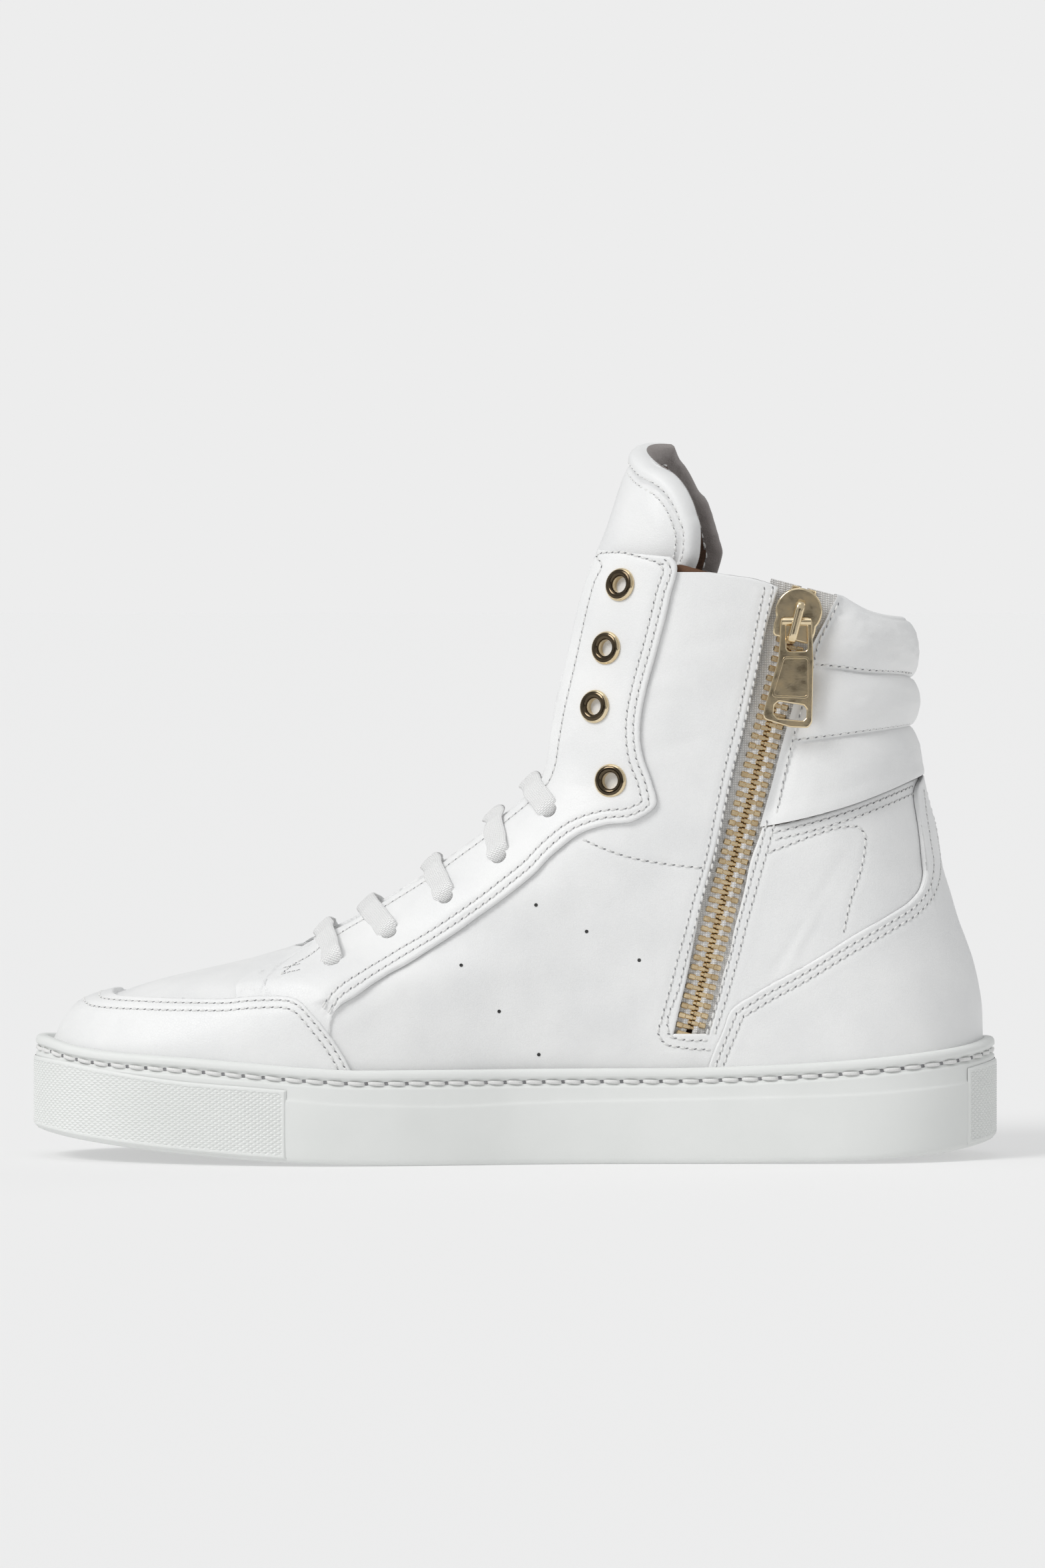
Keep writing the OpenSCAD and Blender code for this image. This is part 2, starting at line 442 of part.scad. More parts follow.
// Centre of the tab's cross bar, which turns under the bridge
tab_c = zp + zd * 129.6 + zn * 5.2;
module tab_outline() {
  polygon([[-4.7, 0], [4.6, 0], [4.9, -12], [4.6, -30.8], [4, -32.2], [-2, -32], [-10.2, -29.4], [-9.7, -26], [-5.6, -11]]);
}
module pull_tab() {
  color("#c8a96c") translate(tab_c) {
    rotate([90, 0, 0]) translate([0, 0, -0.7]) linear_extrude(height = 1.4) difference() {
      translate([0.2, 0]) tab_outline();
      translate([-3.3, -9.2]) square([6.6, 12]);
      polygon([[-6.6, -25.2], [-5.6, -24.2], [2.2, -25.4], [3.2, -26.6], [3.2, -29], [2.2, -30], [-5.8, -29.2], [-7, -28]]);
    }
    // round bar under the bridge, on the hinge's axis
    translate([-4.5, 0, 0]) rotate([0, 90, 0]) cylinder(h = 9.3, r = 1.2);
  }
}

// ---- Lace --------------------------------------------------------------------------------------------
// Flat bars cross the throat from hole to hole; the lace climbs from row to row inside
lace_z = [67.8, 75.6, 88, 102, 113];
function hole_pt(i, s, d) = let (p = lace_p[i]) off(ang(p[0], p[1], s), p[1], d);
function hole_n(i, s) = let (p = lace_p[i]) normal(ang(p[0], p[1], s), p[1]);
function edge_pt(i, s, d) = let (z = lace_z[i]) off(ang(throat_x(z), z, s), z, d);
along = unit([0.72, 0, 0.7]);
// Centre line of one bar from the inner to the outer side
function half_bar(i, s) = let (h = hole_pt(i, s, 3.4), e = edge_pt(i, s, 4))
  [h + unit(h - e) * 3, h, mix(h, e, 0.5) + hole_n(i, s) * 1, e, [e[0] - 0.5, s * 9 + centre[1], e[2] + 0.7]];
function rev(v) = [for (i = [len(v) - 1:-1:0]) v[i]];
// Flat strip, width w and thickness t, along the points P
module strip(P, w, t) {
  n = len(P);
  R = [for (i = [0:n - 1]) let (d = unit(P[min(n - 1, i + 1)] - P[max(0, i - 1)]),
    u = unit(along - (along * d) * d), h = cross(d, u),
    ww = i == 0 || i == n - 1 ? w * 0.7 : w)
    [P[i] + u * ww / 2 + h * t / 4, P[i] + u * ww / 2.6 + h * t / 2, P[i] - u * ww / 2.6 + h * t / 2, P[i] - u * ww / 2 + h * t / 4,
     P[i] - u * ww / 2 - h * t / 4, P[i] - u * ww / 2.6 - h * t / 2, P[i] + u * ww / 2.6 - h * t / 2, P[i] + u * ww / 2 - h * t / 4]];
  pts = [for (r = R) for (p = r) p];
  polyhedron(points = pts, faces = [
    for (i = [0:n - 2]) for (j = [0:7]) let (a = i * 8 + j, b = i * 8 + (j + 1) % 8) each [[a, a + 8, b + 8], [a, b + 8, b]],
    for (j = [1:6]) [0, j, j + 1], for (j = [1:6]) let (b = (n - 1) * 8) [b, b + j + 1, b + j]]);
}
function basis(n) = let (u = unit(cross([0.1, 0.3, 1], n)), v = cross(n, u))
  [[u[0], v[0], n[0], 0], [u[1], v[1], n[1], 0], [u[2], v[2], n[2], 0]];
module rod(p, q, d) { translate(p) multmatrix(basis(unit(q - p))) cylinder(h = norm(q - p), d = d); }
module lace() {
  color("#fbfbf9") union() {
    for (i = [0:4]) strip([each half_bar(i, -1), each rev(half_bar(i, 1))], lace_w, 1.3);
    for (i = [0:4]) for (s = [-1, 1]) rod(hole_pt(i, s, -4.1), hole_pt(i, s, 3.3), 3.4);
    for (i = [0:3]) let (s = i % 2 == 0 ? 1 : -1) rod(hole_pt(i, s, -3.5), hole_pt(i + 1, s, -3.5), 1.6);
  }
}
// Metal tips on the two ends, tucked in behind the first and the last hole
module lace_tips() {
  color("#c9c9c9") for (q = [[0, -1], [4, 1]]) let (h = hole_pt(q[0], q[1], -3.4))
    rod(h + along * 1.9 * (q[0] == 0 ? -1 : 1), h + along * 12 * (q[0] == 0 ? -1 : 1), 1.8);
}

// ---- Tongue ------------------------------------------------------------------------------------------
wing_t = [[62, 12], [67, 12], [75, 14], [85, 17], [100, 21], [115, 25], [130, 28], [150, 31], [170, 33], [187, 33], [195, 31],
  [205, 26], [212, 20], [217, 14], [220.5, 8], [222, 4]];
tongue_z = [62, 66, 70, 76, 84, 93, 102, 111, 120, 130, 142, 154, 166, 178, 188, 197, 205, 212, 217, 220.5];
function tongue_d(z, u) = mix(5.2, 3.4, ease((z - 150) / 40)) + 4.2 * u * u;
module tongue_layer(z0, z1, inset, d0, d1) {
  zs = [for (z = tongue_z) if (z >= z0 && z <= z1) z];
  m = 12;
  g = [for (j = [0:m]) let (u = j / m * 2 - 1) [for (z = zs)
      [ang(front(z) + max(2, lookup(z, wing_t) - inset), z, 1) * u, z - (z > 200 ? 1.5 * u * u : 0), u]]];
  slab([for (r = g) [for (q = r) off(q[0], q[1], -tongue_d(q[1], q[2]) - d0)]],
       [for (r = g) [for (q = r) off(q[0], q[1], -tongue_d(q[1], q[2]) - d1)]]);
}
module tongue_cover() { color("#f7f7f5") tongue_layer(60, 230, 0, 0, leather_t); }
module tongue_foam() { color("#ead9a0") tongue_layer(75, 218, 3, leather_t + 0.4, leather_t + tongue_foam_t - 0.5); }
module tongue_lining() {
  color("#5c3a24") tongue_layer(60, 206, 1, leather_t + tongue_foam_t + 0.5, leather_t + tongue_foam_t + 1.3);
}
module tongue_edge_strip() {
  color("#8f8783") tongue_layer(211, 230, 1, leather_t + tongue_foam_t + 0.5, leather_t + tongue_foam_t + 1.3);
}

cupsole();
sole_filler();
sole_stitching();
insole_board();
footbed();
mudguard();
vamp();
quarter_inner_front();
quarter_inner_rear();
quarter_outer_front();
quarter_outer_rear();
eyestay_inner();
eyestay_outer();
heel_counter_cover();
collar_cover();
collar_foam();
toe_puff();
heel_stiffener();
vamp_lining();
lining_inner_front();
lining_inner_rear();
lining_outer_front();
lining_outer_rear();
zip_facing_front();
zip_facing_rear();
zip_tape_front();
zip_tape_rear();
zip_teeth_front();
zip_teeth_rear();
zip_top_stops();
zip_bottom_stop();
slider_body();
slider_bridge();
pull_tab();
eyelets_inner();
eyelets_outer();
eyelet_washers_inner();
eyelet_washers_outer();
lace();
lace_tips();
tongue_cover();
tongue_foam();
tongue_lining();
tongue_edge_strip();
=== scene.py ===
import bpy, math
import numpy as np
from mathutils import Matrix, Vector


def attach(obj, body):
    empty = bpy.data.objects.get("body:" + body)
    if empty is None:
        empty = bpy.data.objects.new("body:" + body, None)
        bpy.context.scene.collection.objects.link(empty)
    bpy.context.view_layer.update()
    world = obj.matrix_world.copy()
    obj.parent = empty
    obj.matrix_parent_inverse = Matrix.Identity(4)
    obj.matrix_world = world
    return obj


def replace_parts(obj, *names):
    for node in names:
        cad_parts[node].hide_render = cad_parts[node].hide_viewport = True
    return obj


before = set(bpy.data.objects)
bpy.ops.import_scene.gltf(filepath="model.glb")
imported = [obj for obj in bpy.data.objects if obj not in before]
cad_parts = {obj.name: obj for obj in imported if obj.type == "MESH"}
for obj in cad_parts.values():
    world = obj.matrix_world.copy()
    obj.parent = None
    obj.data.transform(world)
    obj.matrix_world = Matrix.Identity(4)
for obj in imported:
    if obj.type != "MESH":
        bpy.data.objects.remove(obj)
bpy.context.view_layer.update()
MM = 0.001

# ---------------------------------------------------------------- camera
cam_data = bpy.data.cameras.new("camera")
camera = bpy.data.objects.new("camera", cam_data)
bpy.context.scene.collection.objects.link(camera)
bpy.context.scene.camera = camera
CAM_BACK, CAM_Z = 2.8, 0.185            # distance in front of the shoe and height, m
AIM = (0.00236, 0.0, 0.1152)
VIEW_HEIGHT = 0.4864                    # height of the view at the aim, m
SENSOR = 36
camera.location = (AIM[0], -CAM_BACK, CAM_Z)
camera.rotation_euler = (Vector(AIM) - Vector(camera.location)).to_track_quat("-Z", "Y").to_euler()
cam_data.sensor_fit = "VERTICAL"
cam_data.sensor_height = SENSOR
cam_data.lens = SENSOR * CAM_BACK / VIEW_HEIGHT
cam_data.clip_end = 50

# ---------------------------------------------------------------- numbers
def pchip(pts):
    """Smooth curve y(x) through the points, without overshoot; straight beyond the ends."""
    x, y = np.array(pts, float).T
    h = np.diff(x)
    d = np.diff(y) / h
    m = np.zeros(len(x))
    for i in range(1, len(x) - 1):
        if d[i - 1] * d[i] > 0:
            w1, w2 = 2 * h[i] + h[i - 1], h[i] + 2 * h[i - 1]
            m[i] = (w1 + w2) / (w1 / d[i - 1] + w2 / d[i])
    m[0], m[-1] = d[0], d[-1]
    def f(q):
        q = np.asarray(q, float)
        k = np.clip(np.searchsorted(x, q) - 1, 0, len(x) - 2)
        t = (q - x[k]) / h[k]
        lo, hi = q < x[0], q > x[-1]
        t = np.clip(t, 0, 1)
        v = ((2 * t**3 - 3 * t**2 + 1) * y[k] + (t**3 - 2 * t**2 + t) * h[k] * m[k]
             + (-2 * t**3 + 3 * t**2) * y[k + 1] + (t**3 - t**2) * h[k] * m[k + 1])
        return np.where(lo, y[0] + (q - x[0]) * m[0], np.where(hi, y[-1] + (q - x[-1]) * m[-1], v))
    return f

def ease(t):
    """0 to 1 with soft ends."""
    t = np.clip(t, 0, 1)
    return t * t * (3 - 2 * t)

def mix(a, b, t):
    """From a to b as t goes from 0 to 1."""
    return a + (b - a) * t

# the upper, in mm: its front and back line by height, its half widths by length
CX, CY = 0.6, -2.75                     # shift from the design's own axes to the frame
front = pchip([[5, -144.05], [28, -143.7], [34, -142.6], [38, -140.8], [43, -138.1], [46.3, -135.2],
    [48.6, -131],
    [51.4, -122], [54.5, -112], [57.6, -98.5], [60.4, -86], [63, -76.5], [66, -67.5], [70, -58.5],
        [74.5, -50.8],
    [80, -42], [86, -32.5], [92, -24], [98, -15.6], [104, -8], [110, -1.2], [116, 4], [122, 6], [130, 7],
    [137, 8.2], [146, 10.2], [155, 12.2], [163, 14], [171, 16], [179, 18.4], [187, 21.6], [196, 25.2],
    [206, 28.6], [214, 31.2], [222, 34]])
back = pchip([[5, 142], [28, 142.8], [40, 142.6], [46, 142.4], [53, 141.4], [60, 139.8], [66, 137.8],
    [72, 135.6], [81, 132.6], [90, 129.8], [100, 128.2], [110, 126.2], [120, 124.4], [134, 122.9],
    [150, 122.8], [163, 122], [180, 120], [222, 118]])
inner_w = pchip([[-145, 38], [-120, 40.5], [-100, 43], [-80, 46], [-60, 48], [-40, 46.5], [-20, 43],
    [0, 39], [20, 36.6], [40, 35.8], [60, 35.6], [90, 36], [120, 35], [145, 33]])
outer_w = pchip([[-145, 36], [-120, 38], [-100, 42], [-80, 48], [-60, 52], [-40, 53.5], [-20, 52],
    [0, 48.5], [20, 45], [40, 42], [60, 40.4], [90, 38.4], [120, 36], [145, 33]])
sole_z = pchip([[-150, 10], [-130, 6.5], [-100, 3.2], [-60, 0.6], [-30, 0], [60, 0], [100, 0.8], [125, 2.4],
    [150, 7]])
rim_z = pchip([[-150, 38.4], [-142, 37.6], [-134, 35.6], [-124, 34.2], [-100, 32.8], [-80, 31.3],
    [-62, 29.9], [-47.5, 29.2],
    [45, 29.3], [72, 30], [100, 31.6], [124, 33.9], [137, 35.7], [144, 37.4], [150, 38.2]])

def end_f(d, r):
    """How full the width is at distance d from an end that is rounded over r."""
    t = np.clip(d / r, 0, 1)
    return np.sqrt(np.maximum(0, 1 - (1 - t) ** 3))

def round_front(z):
    """Length over which the front of the upper is rounded, by height."""
    return np.where(z < 50, mix(80, 105, ease((z - 35) / 15)),
        np.where(z < 90, mix(105, 72, ease((z - 60) / 25)), mix(72, 60, ease((z - 100) / 30))))

def surf(a, z):
    """Point of the upper at angle a (0 toe, 180 heel, negative on the zip side) and height z."""
    a, z = np.broadcast_arrays(np.asarray(a, float), np.asarray(z, float))
    f, b = front(z), back(z)
    x = f + (b - f) * (1 - np.cos(np.radians(a))) / 2
    s = np.where(np.sin(np.radians(a)) < 0, -1.0, 1.0)
    w = mix(np.where(s < 0, inner_w(x), outer_w(x)), 35.7 + (z - 40) * 0.0125 + np.where(s < 0, 0, 1.5),
        ease((z - 40) / 65))
    y = s * w * end_f(x - f, round_front(z)) * end_f(b - x, 50)
    return np.stack([x + CX, y + CY, z], -1)

def normal(a, z):
    """Outward direction of the upper."""
    e, g = 0.6, 0.5
    n = np.cross(surf(a, z + g) - surf(a, z - g), surf(a + e, z) - surf(a - e, z))
    return n / np.maximum(np.linalg.norm(n, axis=-1, keepdims=True), 1e-9)

def ang(x, z, side):
    """Angle of the point of the upper that stands at length x and height z."""
    f, b = front(z), back(z)
    return side * np.degrees(np.arccos(np.clip(1 - 2 * (x - f) / (b - f), -1, 1)))

def start_z(x):
    """Height of the lower edge of the upper, inside the cup sole."""
    return sole_z(x) + 13.8

def catmull(P, t):
    """Smooth curve through the rows of P, at index positions t."""
    P = np.asarray(P, float)
    n = len(P)
    Q = np.vstack([2 * P[0] - P[1], P, 2 * P[-1] - P[-2]])
    k = np.clip(np.floor(t).astype(int), 0, n - 2)
    u = (t - k)[:, None]
    p0, p1, p2, p3 = Q[k], Q[k + 1], Q[k + 2], Q[k + 3]
    # tangents limited by the shorter neighbour keep tight corners from overshooting
    def tan(pa, pb, pc):
        la = np.linalg.norm(pb - pa, axis=1, keepdims=True)
        lb = np.linalg.norm(pc - pb, axis=1, keepdims=True)
        return (pb - pa) / np.maximum(la, 1e-9) * lb / (la + lb + 1e-9), (pc - pb) / np.maximum(lb,
            1e-9) * la / (la + lb + 1e-9)
    L = np.linalg.norm(p2 - p1, axis=1, keepdims=True)
    a1, b1 = tan(p0, p1, p2)
    a2, b2 = tan(p1, p2, p3)
    m1, m2 = (a1 + b1) * L, (a2 + b2) * L
    return ((2 * u**3 - 3 * u**2 + 1) * p1 + (u**3 - 2 * u**2 + u) * m1 + (-2 * u**3 + 3 * u**2) * p2
        + (u**3 - u**2) * m2)

def along(P, step):
    """Even resampling of a polyline (rows of any width, length measured on the first three columns)."""
    d = np.r_[0, np.cumsum(np.linalg.norm(np.diff(P[:, :3], axis=0), axis=1))]
    n = max(2, int(round(d[-1] / step)) + 1)
    s = np.linspace(0, d[-1], n)
    return np.stack([np.interp(s, d, P[:, k]) for k in range(P.shape[1])], 1), s

def noise3(P, seed=0):
    """Smooth noise between -1 and 1 on a hashed lattice."""
    P = np.asarray(P, float)
    i = np.floor(P).astype(np.int64)
    f = P - i
    f = f * f * f * (f * (f * 6 - 15) + 10)
    def h(ix, iy, iz):
        v = (ix * 73856093) ^ (iy * 19349663) ^ (iz * 83492791) ^ (seed * 2654435761)
        v = (v ^ (v >> 13)) * 1274126177 & 0xFFFFFFFF
        v = (v ^ (v >> 16)) * 2246822519 & 0xFFFFFFFF
        return (v & 0xFFFF) / 32767.5 - 1
    x, y, z = i[..., 0], i[..., 1], i[..., 2]
    c = {(a, b, d): h(x + a, y + b, z + d) for a in (0, 1) for b in (0, 1) for d in (0, 1)}
    u, v, w = f[..., 0], f[..., 1], f[..., 2]
    r = 0
    for (a, b, d), q in c.items():
        r = r + q * (u if a else 1 - u) * (v if b else 1 - v) * (w if d else 1 - w)
    return r

def billow(P, seed=0):
    """Slow unevenness of stretched leather, in mm; every layer uses the same field so layers stay stacked."""
    q = P / np.array([30.0, 30.0, 30.0])
    r = 0.42 * noise3(q, seed + 1) + 0.24 * noise3(q * 2.1, seed + 2) + 0.07 * noise3(q * 4.6, seed + 3)
    x, z = P[..., 0], P[..., 2]
    stiff = 1 - 0.75 * ease((-70 - x) / 25) * ease((52 - z) / 6) - 0.6 * ease((x - 80) / 20) * ease((80
        - z) / 15)
    rim = ease((z - 27) / 8)
    ribs = 0
    # bend lines across the ankle and the vamp
    for cx, cz, dx, dz, L, w, amp in CREASES:
        px, pz = x - cx, z - cz
        s = px * dx + pz * dz
        t = -px * dz + pz * dx + 0.0015 * s * s * (1 if amp > 0 else -1)
        ribs = ribs + amp * np.exp(-(t / w) ** 2) * ease((L - np.abs(s)) / (L * 0.6))
    near = np.where(P[..., 1] < 0, 1.0, 0.8)
    return (r * np.clip(stiff, 0.15, 1) + ribs * near) * rim

def _cr(x, z, deg, L, w, amp):
    """One crease: middle, direction, half length, width and height."""
    return (x, z, math.cos(math.radians(deg)), math.sin(math.radians(deg)), L, w, amp)

CREASES = [_cr(-72, 58, 70, 14, 2.2, -0.28), _cr(-84, 54, 66, 12, 2.4, -0.22), _cr(-8, 62, -38, 26, 4, 0.3),
    _cr(16, 84, -30, 24, 3.5, -0.32), _cr(34, 78, -24, 22, 4, 0.25), _cr(48, 128, 12, 14, 3, -0.28),
        _cr(46, 146, 8, 16, 3.5, 0.25),
    _cr(92, 72, 62, 13, 1.8, -0.22), _cr(88, 68, 60, 15, 1.8, 0.2), _cr(84, 66, 58, 13, 1.6, -0.22),
        _cr(96, 86, 58, 13, 1.8, -0.18),
    _cr(8, 52, -32, 26, 4, 0.22), _cr(60, 160, 8, 12, 3, -0.25), _cr(-44, 48, 30, 15, 3, 0.2)]

# ---------------------------------------------------------------- meshes
def mesh_obj(name, V, F, mat, body="shoe", uv=None):
    """Mesh object from points in mm and faces, riding on a body."""
    me = bpy.data.meshes.new(name)
    V = np.asarray(V, float) * MM
    me.vertices.add(len(V))
    me.vertices.foreach_set("co", V.ravel())
    if isinstance(F, np.ndarray):
        k = F.shape[1]
        flat = F.ravel()
        sizes = np.full(len(F), k)
    else:
        flat = np.array([i for f in F for i in f])
        sizes = np.array([len(f) for f in F])
    me.loops.add(len(flat))
    me.loops.foreach_set("vertex_index", flat.astype(np.int32))
    me.polygons.add(len(sizes))
    starts = np.r_[0, np.cumsum(sizes)[:-1]]
    me.polygons.foreach_set("loop_start", starts.astype(np.int32))
    me.polygons.foreach_set("loop_total", sizes.astype(np.int32))
    me.polygons.foreach_set("use_smooth", np.full(len(sizes), True))
    if uv is not None:
        layer = me.uv_layers.new(name="UVMap")
        layer.data.foreach_set("uv", np.asarray(uv, float)[flat].astype(np.float32).ravel())
    me.update(calc_edges=True)
    me.validate()
    me.materials.append(mat)
    ob = bpy.data.objects.new(name, me)
    bpy.context.scene.collection.objects.link(ob)
    if body:
        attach(ob, body)
    return ob

def sharp_by_angle(ob, deg):
    """Smooth shading with creases where faces meet at more than deg degrees."""
    me = ob.data
    me.polygons.foreach_set("use_smooth", np.full(len(me.polygons), True))
    me.set_sharp_from_angle(angle=math.radians(deg))

def quads(m, n):
    """Faces of a grid of m rows of n points."""
    idx = np.arange(m * n).reshape(m, n)
    return np.stack([idx[:-1, :-1], idx[:-1, 1:], idx[1:, 1:], idx[1:, :-1]], -1).reshape(-1, 4)

def circle(centre, u, w, ru, rw, n):
    """n points round an ellipse with the half axes u * ru and w * rw."""
    t = np.linspace(0, 2 * math.pi, n, endpoint=False)
    return centre + np.outer(np.cos(t), u) * ru + np.outer(np.sin(t), w) * rw

def across(n):
    """Two directions at right angles to n; the first is level."""
    u = np.cross([0, 0, 1], n)
    u /= np.linalg.norm(u)
    return u, np.cross(n, u)

# rows beside a cut edge, in mm from it
EDGE = np.array([0, 0.08, 0.22, 0.42, 0.7, 1.05, 1.5, 2.1])

def rows(L, step, fine=True):
    """Fractions across a strip of length L, with rows packed close to both ends."""
    e = EDGE * min(1, L / 9.0) if fine else np.array([0.0])
    n = max(2, int(math.ceil((L - 2 * e[-1]) / step)))
    mid = np.linspace(e[-1], L - e[-1], n + 1)
    return np.r_[e[:-1], mid, (L - e[:-1])[::-1]] / L if fine else mid / L

def near_d(P, Q):
    """Distance from each point of P to the closest point of Q."""
    out = np.empty(len(P))
    for i in range(0, len(P), 4000):
        d = P[i:i + 4000, None, :] - Q[None]
        out[i:i + 4000] = np.sqrt((d * d).sum(-1)).min(1)
    return out

def skin(name, G, mat, top=0.0, thick=1.2, lines=(), keep=None, extra=None, grooves=None, holes=(),
    body="shoe",
         slot="upper_leather", soft=0.75, billows=True):
    """Leather sheet over the grid G of (angle, height). top is the height of its outer face over the upper;
    lines are the cut edges (rows of points), which are rounded; keep drops cells; holes are (centre, axis,
    radius)."""
    P, N = surf(G[..., 0], G[..., 1]), normal(G[..., 0], G[..., 1])
    shape = P.shape[:2]
    flat = P.reshape(-1, 3)
    H = np.full(shape, float(top))
    lift = np.zeros(shape)
    if len(lines):
        d = near_d(flat, np.vstack(lines)).reshape(shape)
        lift = np.where(d < soft, -soft + np.sqrt(np.maximum(0, soft * soft - (soft - np.minimum(d,
            soft)) ** 2)), 0)
    H = H + lift
    if grooves is not None and len(grooves):
        g = near_d(flat, grooves).reshape(shape)
        H = H - 0.17 * np.exp(-(g / 0.7) ** 2) + 0.05 * np.exp(-((g - 2.2) / 1.1) ** 2)
    if billows:
        H = H + billow(P)
    if extra is not None:
        H = H + extra(G[..., 0], G[..., 1], P)
    O = (P + N * H[..., None]).reshape(-1, 3)
    I = (P + N * (H - lift - thick)[..., None]).reshape(-1, 3)
    q = quads(*shape)[:, [0, 3, 2, 1]]
    ok = np.ones(len(q), bool) if keep is None else keep(G).reshape(-1)
    for c, ax, R in holes:
        rel = O - c
        h = rel @ ax
        rad = rel - h[:, None] * ax
        rr = np.linalg.norm(rad, axis=1)
        inside = (rr < R) & (np.abs(h) < 6)
        ok &= ~inside[q].all(1)
        for W in (O, I):
            W[inside] += rad[inside] * ((R - rr[inside]) / np.maximum(rr[inside], 1e-6))[:, None]
    q = q[ok]
    m = q[len(q) // 2]
    if np.dot(np.cross(O[m[1]] - O[m[0]], O[m[3]] - O[m[0]]), N.reshape(-1, 3)[m[0]]) < 0:
        q = q[:, ::-1]
    k = len(O)
    e = np.stack([q, np.roll(q, -1, 1)], -1).reshape(-1, 2)
    code, back = e[:, 0] * k + e[:, 1], e[:, 1] * k + e[:, 0]
    rim = e[~np.isin(code, back)]
    rim = np.stack([rim[:, 1], rim[:, 0], rim[:, 0] + k, rim[:, 1] + k], -1)
    F = np.vstack([q, q[:, ::-1] + k, rim])
    used = np.zeros(2 * k, bool)
    used[F] = True
    new = np.cumsum(used) - 1
    ob = mesh_obj(name, np.vstack([O, I])[used], new[F], mat, body)
    sharp_by_angle(ob, 62)
    return ob

def panel(name, A, B, mat, top=0.0, thick=1.2, step=0.9, cut=(1, 1, 1, 1), mids=(), **kw):
    """Panel between matching curves given in (angle, height); cut says which of the edges A, B, first end
    and last end are cut."""
    n = len(A)
    t = np.linspace(0, n - 1, 60 * (n - 1) + 1)
    C = np.array([catmull(c, t) for c in (A, *mids, B)])
    K = len(C)
    def cross(C):
        if K == 2:
            v = np.linspace(0, 1, 25)[:, None, None]
            return C[0] * (1 - v) + C[1] * v
        v = np.linspace(0, K - 1, 20 * (K - 1) + 1)
        out = np.empty((len(v),) + C.shape[1:])
        for j in range(C.shape[1]):
            out[:, j] = catmull(C[:, j], v)
        return out
    mid = surf(C[:, :, 0].mean(0), C[:, :, 1].mean(0))
    s = np.r_[0, np.cumsum(np.linalg.norm(np.diff(mid, axis=0), axis=1))]
    su = rows(s[-1], step) * s[-1]
    C = np.array([[np.interp(su, s, c[:, k]) for k in (0, 1)] for c in C]).transpose(0, 2, 1)
    D = cross(C)
    Q = surf(D[..., 0], D[..., 1])
    L = np.cumsum(np.linalg.norm(np.diff(Q, axis=0), axis=2), axis=0)
    L = np.vstack([np.zeros((1, L.shape[1])), L])
    nv = max(2, int(math.ceil((L[-1].max() - 4.2) / step)))
    G = np.empty((len(su), nv + 1 + 2 * (len(EDGE) - 1), 2))
    for j in range(len(su)):
        Li = L[-1, j]
        e = EDGE * min(1, Li / 9.0)
        q = np.r_[e[:-1], np.linspace(e[-1], Li - e[-1], nv + 1), (Li - e[:-1])[::-1]]
        for k in (0, 1):
            G[j, :, k] = np.interp(q, L[:, j], D[:, j, k])
    def dense(g):
        return along(surf(g[:, 0], g[:, 1]), 0.35)[0]
    lines = [dense(g) for g, c in zip((G[:, 0], G[:, -1], G[0], G[-1]), cut) if c]
    return skin(name, G, mat, top, thick, lines, **kw)

def path_on(pts, side, step=0.25, raw=False):
    """Even points along a smooth line on the upper, as rows of (x, y, z, angle, height), and their
    distances."""
    t = np.linspace(0, len(pts) - 1, 50 * (len(pts) - 1) + 1)
    c = catmull(pts, t)
    if not raw:
        c = np.stack([ang(c[:, 0], c[:, 1], side), c[:, 1]], 1)
    P = surf(c[:, 0], c[:, 1])
    return along(np.hstack([P, c]), step)

def offset_line(pts, d):
    """The same line in the side view moved sideways by d (positive to the left of its direction)."""
    P = np.asarray(pts, float)
    t = np.linspace(0, len(P) - 1, 12 * (len(P) - 1) + 1)
    c = catmull(P, t)
    g = np.gradient(c, axis=0)
    g /= np.maximum(np.linalg.norm(g, axis=1, keepdims=True), 1e-9)
    return c + d * np.stack([-g[:, 1], g[:, 0]], 1)

